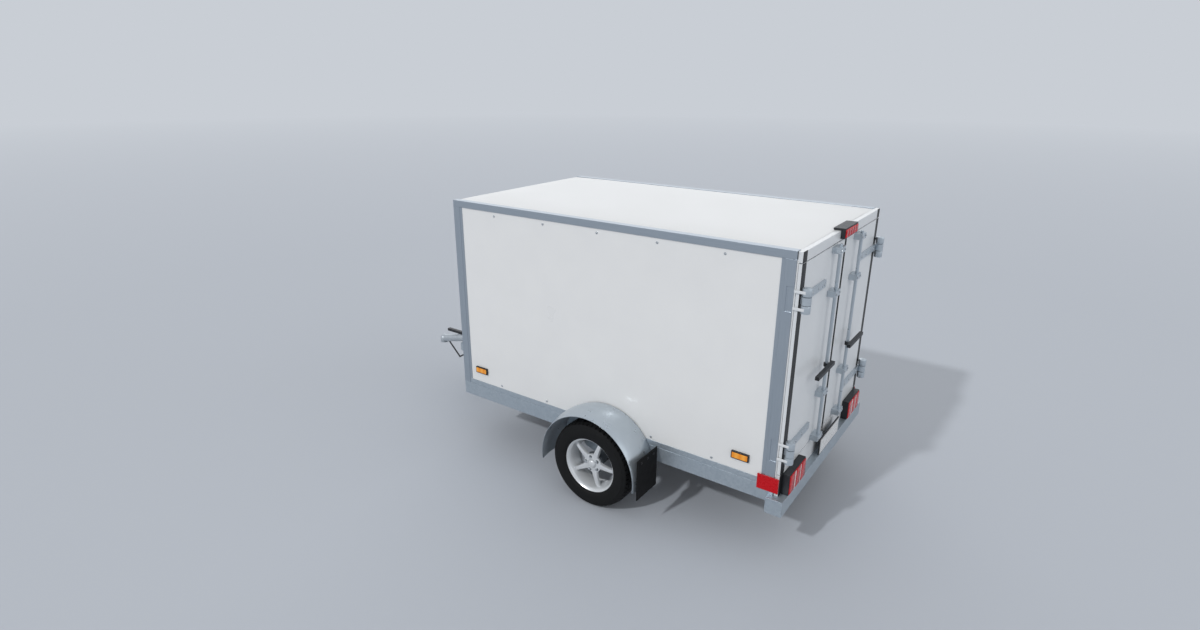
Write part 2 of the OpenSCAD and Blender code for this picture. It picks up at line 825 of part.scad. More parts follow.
module door_hinges() {
  color(galvanised) for (z = hinge_zs) difference() {
    union() {
      translate([hinge_x, hinge_y, z + barrel_step]) cylinder(h = barrel_l, r = barrel_r);
      block(door_x - strap_t, door_x, hinge_y - strap_l, hinge_y,
        z + barrel_step + (barrel_l - strap_h) / 2, z + barrel_step + (barrel_l + strap_h) / 2);
    }
    translate([hinge_x, hinge_y, z]) cylinder(h = hinge_h, r = hinge_pin_r + run_gap);
  }
}

// ---- Doors, built for the left side ----

module door_panel() {
  color(door_paint) difference() {
    block(door_x, rear_x - door_gap, door_y0, door_y1, door_z0, door_z1);
    seal_strips(door_z0 - cut, door_z1 + cut, cut);
  }
}

module door_seals() {
  color(black_rubber) intersection() {
    seal_strips(door_z0, door_z1, 0);
    block(door_x - cut, rear_x, 0, side_y, door_z0, door_z1);
  }
}

module lock_rod() {
  z0 = rail_z + guide_zs[0] - guide_h / 2;
  z1 = rail_z + guide_zs[3] + guide_h / 2 + rod_over;
  color(galvanised) translate([rod_x, rod_y, z0]) cylinder(h = z1 - z0, r = rod_r);
}

module rod_guides() {
  color(galvanised) for (g = guide_zs) difference() {
    block(door_x - guide_d, door_x, rod_y - guide_w / 2, rod_y + guide_w / 2,
      rail_z + g - guide_h / 2, rail_z + g + guide_h / 2);
    translate([rod_x, rod_y, rail_z + g - guide_h]) cylinder(h = 2 * guide_h, r = rod_r + run_gap);
  }
}

module door_handle() {
  z0 = rail_z + handle_z - handle_h / 2;
  back = rod_x - rod_r - 1;
  y0 = rod_y - handle_in;
  color(black_rubber) difference() {
    union() {
      block(back - handle_d, back, y0, y0 + handle_l, z0, z0 + handle_h);
      translate([rod_x, rod_y, z0]) cylinder(h = handle_h, r = rod_r + 7);
    }
    translate([rod_x, rod_y, z0 - cut]) cylinder(h = handle_h + 2 * cut, r = rod_r + run_gap);
  }
}

// ---- Lamps and plate ----

module marker_places() {
  both_sides() for (x = [front_x - marker_front, rear_x + marker_rear])
    translate([x, panel_y1, rail_z + marker_z]) children();
}

module marker_housings() {
  color(black_rubber) marker_places() difference() {
    block(-marker_l / 2, marker_l / 2, 0, 14, -marker_h / 2, marker_h / 2);
    block(-marker_l / 2 + 7, marker_l / 2 - 7, 6, 15, -marker_h / 2 + 7, marker_h / 2 - 7);
  }
}

module marker_lenses() {
  color(amber_lens) marker_places()
    block(-marker_l / 2 + 7, marker_l / 2 - 7, 6, 18, -marker_h / 2 + 7, marker_h / 2 - 7);
}

module side_reflectors() {
  x0 = rear_x - reflector_out;
  z0 = rail_z + reflector_z;
  color(red_lens) both_sides()
    block(x0, x0 + reflector_l, side_y, side_y + 6, z0, z0 + reflector_h);
}

// Two tail lamps on the rear beam, and a brake lamp on the header
module lamp_housings() {
  y1 = side_y - lamp_in;
  half = brake_w / 2;
  color(black_rubber) {
    both_sides() block(door_x - lamp_d, door_x, y1 - lamp_w, y1, beam_z, beam_z + lamp_h);
    block(door_x - brake_d, door_x, -half, half, body_top - brake_h, body_top);
    block(door_x - brake_d, rear_x + brake_hook, -half, half, body_top, body_top + brake_cap);
  }
}

module lamp_lenses() {
  y1 = side_y - lamp_in - lens_rim;
  x0 = door_x - lamp_d - lens_t;
  half = brake_w / 2 - lens_rim;
  color(red_lens) {
    both_sides() block(x0, x0 + lens_t, y1 - lamp_w + 2 * lens_rim, y1, beam_z + lens_rim,
      beam_z + lamp_h - lens_rim);
    block(door_x - brake_d - lens_t, door_x - brake_d, -half, half,
      body_top - brake_h + lens_rim, body_top + 4);
  }
}

// The holder stands on the rear beam, and the blank plate sits on its face
module number_holder() {
  half = number_w / 2 + number_rim;
  color(black_rubber) block(number_x, number_x + number_back, -number_y - half,
    -number_y + half, beam_z, beam_z + number_z + number_h + number_rim);
}

module number_plate() {
  z0 = beam_z + number_z;
  color(white_paint) block(number_x - number_t, number_x, -number_y - number_w / 2,
    -number_y + number_w / 2, z0, z0 + number_h);
}

// ---- The pieces on the moving bodies ----

module left_door_panel() door_panel();

module left_door_seals() door_seals();

module left_door_hinges() door_hinges();

module left_lock_rod() lock_rod();

module left_rod_guides() rod_guides();

module left_door_handle() door_handle();

module right_door_panel() mirror([0, 1, 0]) door_panel();

module right_door_seals() mirror([0, 1, 0]) door_seals();

module right_door_hinges() mirror([0, 1, 0]) door_hinges();

module right_lock_rod() mirror([0, 1, 0]) lock_rod();

module right_rod_guides() mirror([0, 1, 0]) rod_guides();

module right_door_handle() mirror([0, 1, 0]) door_handle();

module left_tyre() tyre();

module left_rim() rim();

module left_hub() hub();

module right_tyre() mirror([0, 1, 0]) tyre();

module right_rim() mirror([0, 1, 0]) rim();

module right_hub() mirror([0, 1, 0]) hub();

side_rails();
crossmembers();
rear_beam();
drawbar();
coupling_head();
coupling_handle();
coupling_guard_rod();
jockey_clamp();
axle_beam();
axle_arms();
mudguards();
mudflaps();
floor_panel();
floor_edges();
left_side_panel();
right_side_panel();
front_panel();
roof_panel();
corner_posts();
top_rails();
rear_frame();
frame_seals();
hinge_brackets();
marker_housings();
marker_lenses();
side_reflectors();
lamp_housings();
lamp_lenses();
number_holder();
number_plate();
left_door_panel();
left_door_seals();
left_door_hinges();
left_lock_rod();
left_rod_guides();
left_door_handle();
right_door_panel();
right_door_seals();
right_door_hinges();
right_lock_rod();
right_rod_guides();
right_door_handle();
left_tyre();
left_rim();
left_hub();
right_tyre();
right_rim();
right_hub();
jockey_tube();
jockey_fork();
jockey_roller();
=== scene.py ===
# %% [markdown]
# # A closed box trailer, finished in Blender
# The trailer's shapes come from the CAD frame. This lesson gives each part its real surface, and
# adds the pieces that CAD leaves plain: tyres with tread, alloy rims, bolts, lenses, welds and
# seals. Everything is in metres, with +X the towing direction, +Y the left side and +Z up.

# %% Load the frame
import json
import math

import bmesh
import bpy
from mathutils import Matrix, Vector


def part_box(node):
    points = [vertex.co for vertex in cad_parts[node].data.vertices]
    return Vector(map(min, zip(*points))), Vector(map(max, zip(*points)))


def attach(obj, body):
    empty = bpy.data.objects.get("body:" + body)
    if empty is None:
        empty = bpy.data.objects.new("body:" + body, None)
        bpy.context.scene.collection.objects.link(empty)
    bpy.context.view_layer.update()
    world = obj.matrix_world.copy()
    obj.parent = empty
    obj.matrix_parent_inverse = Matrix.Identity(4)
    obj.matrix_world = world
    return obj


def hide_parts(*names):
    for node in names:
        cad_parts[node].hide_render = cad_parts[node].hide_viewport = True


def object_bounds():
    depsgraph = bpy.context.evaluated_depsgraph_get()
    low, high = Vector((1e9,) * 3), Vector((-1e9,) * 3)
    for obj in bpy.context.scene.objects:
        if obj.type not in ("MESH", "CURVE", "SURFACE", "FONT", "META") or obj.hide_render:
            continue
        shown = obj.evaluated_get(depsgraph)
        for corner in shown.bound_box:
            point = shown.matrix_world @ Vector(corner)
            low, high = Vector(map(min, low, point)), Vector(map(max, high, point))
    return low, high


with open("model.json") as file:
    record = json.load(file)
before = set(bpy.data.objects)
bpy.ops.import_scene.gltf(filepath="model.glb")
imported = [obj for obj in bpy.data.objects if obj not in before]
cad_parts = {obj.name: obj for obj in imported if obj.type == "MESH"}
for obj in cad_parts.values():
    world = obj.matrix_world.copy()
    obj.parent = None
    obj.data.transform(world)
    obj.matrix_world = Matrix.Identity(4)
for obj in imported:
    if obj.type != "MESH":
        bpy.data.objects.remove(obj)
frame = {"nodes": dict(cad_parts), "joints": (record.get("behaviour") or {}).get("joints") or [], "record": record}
cad_box = [list(corner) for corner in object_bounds()]
scene = bpy.context.scene
MM = 0.001
print("CAD box", [[round(v, 3) for v in corner] for corner in cad_box])

# %% [markdown]
# ## Camera
# The camera stands 2.7 m up, 4 m to the left of the middle and a metre behind the doors. Its place
# is given from the front end and the underside of the side rails, and its direction by a heading,
# a downward tilt and a very small roll. A wide lens gives the strong perspective of a near view.

# %% Camera
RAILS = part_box("side_rails")
REAR_X, FRONT_X = RAILS[0].x, RAILS[1].x
HALF_WIDTH, RAIL_Z = RAILS[1].y, RAILS[0].z
LENS_MM = 20.39
BEHIND_FRONT, TO_THE_LEFT, ABOVE_RAIL = 3.612, 4.0715, 2.345
HEADING, TILT, ROLL = -54.870, 19.566, 0.2555  # degrees


def aim(heading, tilt, roll):
    """A camera rotation from a heading and a tilt below the horizon, in degrees."""
    h, t, r = (math.radians(a) for a in (heading, tilt, roll))
    look = Vector((math.cos(t) * math.cos(h), math.cos(t) * math.sin(h), -math.sin(t)))
    right = look.cross(Vector((0, 0, 1))).normalized()
    up = right.cross(look)
    across = math.cos(r) * right + math.sin(r) * up
    top = -math.sin(r) * right + math.cos(r) * up
    return Matrix((across, top, -look)).transposed().to_4x4()


lens = bpy.data.cameras.new("view_camera")
lens.lens = LENS_MM
camera = bpy.data.objects.new("view_camera", lens)
scene.collection.objects.link(camera)
place = Vector((FRONT_X - BEHIND_FRONT, TO_THE_LEFT, RAIL_Z + ABOVE_RAIL))
camera.matrix_world = Matrix.Translation(place) @ aim(HEADING, TILT, ROLL)
scene.camera = camera
print("camera at", [round(v, 2) for v in place])

# %% [markdown]
# ## Colour and node helpers
# Colours are written as the sRGB hex values that a paint chart gives, and one function turns them
# to the linear values that Blender's shaders need. One small function adds a node with its
# settings and its links, so that a material reads as a list of what it is made of. Most finishes
# need only two things more: a mottle of colour and gloss over patches of a real size, and a relief
# of a real depth.


# %% Helpers for colours and nodes
# a Mix node keeps sockets for every kind of data: these are its two colours in, and its colour out
FIRST, SECOND, BLENDED = 6, 7, 2
# a Wave texture repeats when 20 x scale x distance is a full turn: this scale repeats every 1 m
WAVE_PER_METRE = math.tau / 20


def colour(code):
    """An sRGB hex value as linear red, green, blue and alpha."""
    parts = [int(code[i : i + 2], 16) / 255 for i in (1, 3, 5)]
    return [p / 12.92 if p <= 0.04045 else ((p + 0.055) / 1.055) ** 2.4 for p in parts] + [1.0]


def add(tree, kind, settings=None, links=None):
    """Adds a node. A setting is an input or an attribute; a link joins an output to an input."""
    node = tree.nodes.new(kind)
    for key, value in (settings or {}).items():
        if isinstance(key, str) and key not in node.inputs:
            setattr(node, key, value)
        else:
            node.inputs[key].default_value = value
    for key, output in (links or {}).items():
        tree.links.new(output, node.inputs[key])
    return node


def surface(name, code, roughness, settings=None):
    """A new material: its tree, its shader and a place that is fixed to the object."""
    material = bpy.data.materials.new(name)
    material.use_nodes = True
    tree = material.node_tree
    tree.nodes.clear()
    shader = add(tree, "ShaderNodeBsdfPrincipled",
                 {"Base Color": colour(code), "Roughness": roughness, **(settings or {})})
    add(tree, "ShaderNodeOutputMaterial", links={"Surface": shader.outputs[0]})
    spot = add(tree, "ShaderNodeTexCoord").outputs["Object"]
    return material, tree, shader, spot


def mottle(tree, shader, spot, codes, size_mm, gloss, stretch=(1, 1, 1), cells=False):
    """Varies colour and gloss together over patches of a real size. Returns the pattern."""
    where = add(tree, "ShaderNodeMapping", {"Scale": stretch}, {"Vector": spot}).outputs[0]
    if cells:
        pattern = add(tree, "ShaderNodeTexVoronoi", {"Scale": 1000 / size_mm}, {"Vector": where})
        value = pattern.outputs["Color"]
    else:
        pattern = add(tree, "ShaderNodeTexNoise", {"Scale": 1000 / size_mm, "Detail": 5.0},
                      {"Vector": where})
        value = pattern.outputs["Fac"]
    mixed = add(tree, "ShaderNodeMix", {"data_type": "RGBA", FIRST: colour(codes[0]),
                                        SECOND: colour(codes[1])}, {0: value})
    rough = add(tree, "ShaderNodeMapRange", {"From Min": 0.25, "From Max": 0.75,
                                             "To Min": gloss[0], "To Max": gloss[1]},
                {"Value": value})
    tree.links.new(mixed.outputs[BLENDED], shader.inputs["Base Color"])
    tree.links.new(rough.outputs[0], shader.inputs["Roughness"])
    return value


def relief(tree, shader, spot, size_mm, depth_mm, stretch=(1, 1, 1), strength=0.5, value=None):
    """Raises a fine grain, or a pattern that is passed in, by a real depth."""
    if value is None:
        where = add(tree, "ShaderNodeMapping", {"Scale": stretch}, {"Vector": spot}).outputs[0]
        value = add(tree, "ShaderNodeTexNoise", {"Scale": 1000 / size_mm, "Detail": 3.0},
                    {"Vector": where}).outputs["Fac"]
    bump = add(tree, "ShaderNodeBump", {"Strength": strength, "Distance": depth_mm * MM},
               {"Height": value})
    tree.links.new(bump.outputs[0], shader.inputs["Normal"])


print("helpers ready")

# %% [markdown]
# ## Stage
# The trailer stands on a plain pale floor, a big disc. Far out, the floor turns into the same pale
# tone as the sky, so no hard horizon crosses the picture. A mix with an emission does that by
# distance, which costs less than a curved backdrop and looks the same from all sides.

# %% Floor
PALE = "#C9CED5"
RADIUS, CORNERS = 60.0, 96
FADE_FROM, FADE_TO = 7.0, 45.0  # metres from the trailer
floor_mesh = bpy.data.meshes.new("floor")
turns = [a * math.tau / CORNERS for a in range(CORNERS)]
ring = [(RADIUS * math.cos(a), RADIUS * math.sin(a), 0.0) for a in turns]
floor_mesh.from_pydata(ring, [], [list(range(CORNERS))])
floor = bpy.data.objects.new("floor", floor_mesh)
scene.collection.objects.link(floor)
# matt paint: no highlight, so nothing but the shadow draws the eye
floor_paint, tree, shader, spot = surface("matt_studio_floor_paint", "#B4BAC3", 0.85)
far = add(tree, "ShaderNodeVectorMath", {"operation": "LENGTH"}, {0: spot})
fade = add(tree, "ShaderNodeMapRange", {"From Min": FADE_FROM, "From Max": FADE_TO},
           {"Value": far.outputs["Value"]})
haze = add(tree, "ShaderNodeEmission", {"Color": colour(PALE), "Strength": 1.0})
both = add(tree, "ShaderNodeMixShader",
           links={0: fade.outputs[0], 1: shader.outputs[0], 2: haze.outputs[0]})
out = [n for n in tree.nodes if n.type == "OUTPUT_MATERIAL"][0]
tree.links.new(both.outputs[0], out.inputs["Surface"])
floor.data.materials.append(floor_paint)
print("floor", 2 * RADIUS, "m across")

# %% [markdown]
# ## Sky and lamps
# An even white sky lights the trailer from all round, at a level at which a colour renders about
# as it is written. Camera, glossy and transmission rays see a pale backdrop instead, so that metal
# shows it too. The key lamp stands high on the left and throws the shadow to the right. A wide,
# weak lamp on the far side puts a bright edge on upward faces, and a third fills the shaded doors.
# All three are suns, because they light the whole trailer alike, and a wide angle makes them soft.

# %% Sky and lamps
FILL_LEVEL = 0.62
world = bpy.data.worlds.new("studio_sky")
scene.world = world
world.use_nodes = True
tree = world.node_tree
tree.nodes.clear()
path = add(tree, "ShaderNodeLightPath")
seen = add(tree, "ShaderNodeMath", {"operation": "MAXIMUM"},
           {0: path.outputs["Is Camera Ray"], 1: path.outputs["Is Glossy Ray"]})
seen = add(tree, "ShaderNodeMath", {"operation": "MAXIMUM"},
           {0: seen.outputs[0], 1: path.outputs["Is Transmission Ray"]})
fill = add(tree, "ShaderNodeBackground", {"Color": colour("#FFFFFF"), "Strength": FILL_LEVEL})
backdrop = add(tree, "ShaderNodeBackground", {"Color": colour(PALE), "Strength": 1.0})
mixed = add(tree, "ShaderNodeMixShader",
            links={0: seen.outputs[0], 1: fill.outputs[0], 2: backdrop.outputs[0]})
add(tree, "ShaderNodeOutputWorld", links={"Surface": mixed.outputs[0]})


def distant_lamp(name, energy, spread, towards):
    """A soft lamp far away, towards a direction from the trailer."""
    lamp = bpy.data.lights.new(name, "SUN")
    lamp.energy, lamp.angle = energy, math.radians(spread)
    made = bpy.data.objects.new(name, lamp)
    scene.collection.objects.link(made)
    made.matrix_world = Vector(towards).to_track_quat("Z", "Y").to_matrix().to_4x4()


# name, strength, spread in degrees, and the direction from the trailer to the lamp
LAMPS = (("soft_key", 1.15, 2.5, (0.188, 0.746, 0.638)),
         ("rim_on_upper_faces", 0.5, 55, (0.52, -0.74, 0.42)),
         ("rear_fill", 0.55, 60, (-0.9, -0.1, 0.3)))
for lamp_row in LAMPS:
    distant_lamp(*lamp_row)
scene.view_settings.view_transform = "Standard"
print("sky and", len(bpy.data.lights), "lamps")

# %% [markdown]
# ## Galvanised steel
# Hot-dip galvanised steel is steel dipped in molten zinc. It sets in flat crystals, the spangle, 8
# to 20 mm across, each with its own tone and gloss, and that gives the eye a soft broken sheen. A
# Voronoi pattern gives the crystals, and a slow noise the weathered patches. Thin pressed parts
# are plated with bright zinc instead, so they show no spangle, only a bright skin with slow
# clouds.

# %% Galvanised steel
SPANGLE_MM, PATCH_MM = 14, 160
galvanised, tree, shader, spot = surface("hot_dip_galvanised_steel", "#A7B1BA", 0.4,
                                         {"Metallic": 0.6})
mottle(tree, shader, spot, ("#A1ADB7", "#B4BEC6"), SPANGLE_MM, (0.34, 0.44), cells=True)
patch = add(tree, "ShaderNodeTexNoise", {"Scale": 1000 / PATCH_MM, "Detail": 4.0},
            {"Vector": spot})
level = add(tree, "ShaderNodeMapRange",
            {"From Min": 0.35, "From Max": 0.7, "To Min": 0.0, "To Max": 0.45},
            {"Value": patch.outputs["Fac"]})
fresh = shader.inputs["Base Color"].links[0].from_socket
worn = add(tree, "ShaderNodeMix", {"data_type": "RGBA", SECOND: colour("#A9B4BF")},
           {0: level.outputs[0], FIRST: fresh})
tree.links.new(worn.outputs[BLENDED], shader.inputs["Base Color"])
relief(tree, shader, spot, 6, 0.15, strength=0.35)
pressing, tree, shader, spot = surface("bright_zinc_pressing", "#B9C3CB", 0.29, {"Metallic": 0.62})
mottle(tree, shader, spot, ("#B5BFC8", "#C0C9D0"), 70, (0.26, 0.33))
relief(tree, shader, spot, 25, 0.1, strength=0.2)
print(galvanised.name, pressing.name)

# %% [markdown]
# ## Anodised aluminium, castings and bolts
# Anodised aluminium is extruded, so it carries fine lines along its length under a satin oxide
# skin. The lines follow the bar, so upright posts and lengthwise rails need a material each. Cast
# parts are grainier: the coupling is zinc coated, the hubs are painted iron, and the rims are cast
# alloy under silver paint with a clear coat. Bolts are turned and plated, so they are the
# brightest.

# %% Anodised aluminium, castings and bolts
LINE_STRETCH = 1 / 50  # a line is 50 times as long as it is wide
anodised = {}
for run, stretch in (("upright", (1, 1, LINE_STRETCH)), ("lengthwise", (LINE_STRETCH, 1, 1))):
    skin, tree, shader, spot = surface("anodised_aluminium_" + run, "#A3ADB7", 0.34,
                                       {"Metallic": 0.75})
    # the real lines are under 1 mm apart; 5 mm in tone and 2 mm in relief are what shows
    mottle(tree, shader, spot, ("#9CA7B2", "#AEB7C0"), 5, (0.3, 0.38), stretch)
    relief(tree, shader, spot, 2, 0.05, stretch, 0.3)
    anodised[run] = skin
cast_zinc, tree, shader, spot = surface("zinc_coated_casting", "#B9C0C6", 0.4, {"Metallic": 0.75})
mottle(tree, shader, spot, ("#ABB3BA", "#CBD0D4"), 30, (0.32, 0.5))
relief(tree, shader, spot, 3, 0.4, strength=0.4)  # the sand grain of the mould
# painted iron: dull and dark, with the casting's grain showing through; the same material paints the shade of the
# bolt pockets on the rims, as thin dark discs
iron_paint_and_pocket_shade, tree, shader, spot = surface("cast_iron_hub_paint_and_bolt_pocket_shade", "#4B5157", 0.55, {"Metallic": 0.3})
mottle(tree, shader, spot, ("#3C4146", "#5A6167"), 18, (0.45, 0.65))
relief(tree, shader, spot, 3, 0.4)
# silver paint: metal flake, drawn 1.2 mm across, glitters softly under a smooth clear coat
silver, tree, shader, spot = surface(
    "silver_painted_cast_alloy", "#DADDE0", 0.3,
    {"Metallic": 0.45, "Coat Weight": 0.5, "Coat Roughness": 0.12})
mottle(tree, shader, spot, ("#D2D6D9", "#E2E4E6"), 1.2, (0.26, 0.36))
# plated bolts: a bright skin with small dull patches where a spanner has been
bright_zinc, tree, shader, spot = surface("bright_zinc_plated_bolt", "#B4BABF", 0.32,
                                          {"Metallic": 0.85})
mottle(tree, shader, spot, ("#A5ACB2", "#C6CACD"), 7, (0.25, 0.4))
print("metals", [m.name for m in (*anodised.values(), cast_zinc, iron_paint_and_pocket_shade, silver, bright_zinc)])

# %% [markdown]
# ## Panels, floor and paint
# The side, front and roof panels are white gel-coated sandwich boards: smooth, with a soft gloss
# that varies slowly, and road dust low down on the sides. The roof's white is a shade darker than
# the sides': painted shade that offsets the stronger light on the top. The door sheet is
# coil-coated steel, a little greyer, with a faint long wave that bends its reflections; its greyer
# tone is partly its own and partly painted shade, for doors that face away from the key lamp. The
# load floor is phenolic-faced plywood, dark brown with a pressed wire mesh about 5 mm apart that
# stops the load sliding.


# %% Panels
CLOUDS_A_PANEL = 1000 / 220


def dusty(tree, shader, low, high, amount, dirt):
    """Road dust that thins out upwards, from low to high above the ground."""
    where = add(tree, "ShaderNodeTexCoord").outputs["Object"]
    height = add(tree, "ShaderNodeSeparateXYZ", links={0: where})
    band = add(tree, "ShaderNodeMapRange", {"From Min": low, "From Max": high, "To Min": amount,
                                            "To Max": 0.0}, {"Value": height.outputs["Z"]})
    # with nothing linked, a texture is spread over each piece's own box, so the clouds fit a panel
    cloud = add(tree, "ShaderNodeTexNoise", {"Scale": CLOUDS_A_PANEL, "Detail": 6.0})
    share = add(tree, "ShaderNodeMath", {"operation": "MULTIPLY"},
                {0: band.outputs[0], 1: cloud.outputs["Fac"]})
    clean = shader.inputs["Base Color"].links[0].from_socket
    tint = add(tree, "ShaderNodeMix", {"data_type": "RGBA", SECOND: colour(dirt)},
               {0: share.outputs[0], FIRST: clean})
    tree.links.new(tint.outputs[BLENDED], shader.inputs["Base Color"])


white_board, tree, shader, spot = surface("white_gel_coated_panel", "#E4E5E6", 0.3,
                                          {"Coat Weight": 0.35, "Coat Roughness": 0.15})
mottle(tree, shader, spot, ("#E2E3E4", "#E9EAEA"), 260, (0.27, 0.36))
dusty(tree, shader, RAIL_Z + 0.08, RAIL_Z + 0.75, 0.22, "#BFC0BE")
# the roof's white is a shade darker than the side panels' white: painted shade that offsets the stronger light on
# the top
roof_white_with_painted_shade, tree, shader, spot = surface("white_gel_coated_roof_with_painted_shade", "#D3D5D7", 0.32)
mottle(tree, shader, spot, ("#D1D3D5", "#D6D8D9"), 300, (0.29, 0.36))
# a little greyer than the panels' white: partly the sheet's own tone and partly painted shade, for doors that face
# away from the key lamp
door_sheet, tree, shader, spot = surface("coil_coated_door_sheet_with_painted_shade", "#D9DDE1", 0.36,
                                         {"Coat Weight": 0.2})
mottle(tree, shader, spot, ("#D6DADE", "#DFE2E5"), 180, (0.32, 0.42))
relief(tree, shader, spot, 70, 0.2, strength=0.25)
dusty(tree, shader, RAIL_Z + 0.15, RAIL_Z + 0.9, 0.2, "#B9BBBA")
mesh_ply, tree, shader, spot = surface("phenolic_mesh_faced_plywood", "#3A2B22", 0.42)
mottle(tree, shader, spot, ("#33261E", "#473629"), 60, (0.35, 0.55))
# the real mesh is about 5 mm apart; twice that shows through the open doors
MESH_MM = 9.87
weave = [add(tree, "ShaderNodeTexWave",
             {"bands_direction": d, "Scale": WAVE_PER_METRE * 1000 / MESH_MM},
             {"Vector": spot}).outputs["Fac"] for d in "XY"]
mesh = add(tree, "ShaderNodeMath", {"operation": "MULTIPLY"}, {0: weave[0], 1: weave[1]})
relief(tree, shader, spot, 5, 0.4, value=mesh.outputs[0])
print("panels", white_board.name, roof_white_with_painted_shade.name, door_sheet.name, mesh_ply.name)

# %% [markdown]
# ## Rubbers, gasket and sealant
# Tyre tread is vulcanised rubber, near black with a dry, soft sheen. Seals are extruded EPDM, so
# they carry fine lines along them and shine a little more. The flap is moulded rubber, the
# blackest of all. The gasket beside the doors is white and the bead at the roof's edge is grey
# sealant, both satin. A low specular level keeps rubber dark where the sky would otherwise grey
# it.

# %% Rubbers, gasket and sealant
tyre_rubber, tree, shader, spot = surface("vulcanised_tyre_rubber", "#0D0E0F", 0.75,
                                          {"Specular IOR Level": 0.25})
mottle(tree, shader, spot, ("#0A0B0C", "#131415"), 45, (0.68, 0.82))
relief(tree, shader, spot, 2.5, 0.25, strength=0.4)
seal_rubber, tree, shader, spot = surface("extruded_epdm_seal", "#0B0C0E", 0.5)
mottle(tree, shader, spot, ("#08090B", "#111215"), 20, (0.42, 0.6), (1, 1, 0.05))
relief(tree, shader, spot, 3, 0.3, (1, 1, 0.02), 0.5)
flap_rubber, tree, shader, spot = surface("moulded_flap_rubber", "#060607", 0.7,
                                          {"Specular IOR Level": 0.25})
mottle(tree, shader, spot, ("#050506", "#0B0B0C"), 50, (0.62, 0.78))
relief(tree, shader, spot, 4, 0.3)
grey_sealant, tree, shader, spot = surface("grey_polyurethane_sealant", "#8D949B", 0.6)
mottle(tree, shader, spot, ("#868D94", "#969DA3"), 15, (0.5, 0.7))
relief(tree, shader, spot, 5, 0.3)
white_gasket, tree, shader, spot = surface("extruded_white_gasket", "#DDDFE0", 0.55)
mottle(tree, shader, spot, ("#D8DADB", "#E2E3E4"), 25, (0.5, 0.6))
relief(tree, shader, spot, 3, 0.2, (1, 1, 0.02))
print("rubbers", tyre_rubber.name, seal_rubber.name, flap_rubber.name)

# %% [markdown]
# ## Plastics and the plate
# Lamp bodies and handles are moulded ABS with a spark-eroded grain, and the guard rod is powder
# coated. Lenses are moulded acrylic, glossy, with prisms behind the face that break up what lies
# beneath. The prisms are about 5 mm apart, which is too fine to show, so they are drawn as soft
# bands six times as far apart. The plate is a blank sheet with a beaded reflective face.

# %% Plastics and the plate
black_abs, tree, shader, spot = surface("grained_black_abs", "#1B1D21", 0.45)
mottle(tree, shader, spot, ("#17191C", "#24262B"), 12, (0.38, 0.55))
relief(tree, shader, spot, 1.5, 0.15)
rod_paint, tree, shader, spot = surface("black_powder_coat", "#1A1B1E", 0.4, {"Coat Weight": 0.3})
mottle(tree, shader, spot, ("#151619", "#222327"), 9, (0.34, 0.48))
relief(tree, shader, spot, 1.5, 0.1)
ACRYLIC_IOR = 1.49
LENS = {"IOR": ACRYLIC_IOR, "Coat Weight": 0.3, "Coat Roughness": 0.08, "Specular IOR Level": 0.3}
BAND_MM, AMBER_BAND_MM = 31.416, 43.982


def acrylic(name, codes, pitch_mm, direction):
    """A moulded lens: a glossy face, and soft bands that show through it."""
    material, tree, shader, spot = surface(name, codes[0], 0.18, LENS)
    ribs = add(tree, "ShaderNodeTexWave",
               {"bands_direction": direction, "Scale": WAVE_PER_METRE * 1000 / pitch_mm},
               {"Vector": spot})
    mixed = add(tree, "ShaderNodeMix",
                {"data_type": "RGBA", FIRST: colour(codes[0]), SECOND: colour(codes[1])},
                {0: ribs.outputs["Fac"]})
    tree.links.new(mixed.outputs[BLENDED], shader.inputs["Base Color"])
    relief(tree, shader, spot, 1, 0.5, value=ribs.outputs["Fac"], strength=0.4)
    return material


red_acrylic = acrylic("moulded_red_acrylic", ("#B50814", "#CC101C"), BAND_MM, "Z")
pale_acrylic = acrylic("moulded_clear_acrylic", ("#D9B9BA", "#EBD9D8"), BAND_MM, "Z")
amber_acrylic = acrylic("moulded_amber_acrylic", ("#EE9022", "#F8AC45"), AMBER_BAND_MM, "X")
red_reflex, tree, shader, spot = surface("red_reflex_acrylic", "#C00A18", 0.3,
                                         {"IOR": ACRYLIC_IOR, "Specular IOR Level": 0.25})
# the corner cubes of a reflex reflector are about 3 mm; 6 mm shows in a render
value = mottle(tree, shader, spot, ("#B80815", "#C60C1A"), 6, (0.25, 0.35), cells=True)
relief(tree, shader, spot, 6, 0.3, value=value, strength=0.25)
# glass beads under 0.1 mm make the plate's face glow softly; 4 mm clusters show
plate_face, tree, shader, spot = surface("beaded_plate_sheet", "#DCDEDE", 0.3,
                                         {"Coat Weight": 0.5})
value = mottle(tree, shader, spot, ("#D6D8D9", "#E3E4E4"), 4, (0.25, 0.35), cells=True)
relief(tree, shader, spot, 4, 0.08, value=value, strength=0.2)
plastics = (black_abs, rod_paint, red_acrylic, pale_acrylic, amber_acrylic, red_reflex, plate_face)
print("plastics", [m.name for m in plastics])

# %% [markdown]
# ## Give each CAD node its finish
# The record says which slot each node's finish comes from, so most nodes follow a table from slot
# to material. A few differ within a slot: upright posts and lengthwise rails are extruded in
# different directions, and the hubs are painted castings. Sheet and cast edges are never razor
# sharp, so small bevels are put on with modifiers, which leave the CAD mesh itself alone.

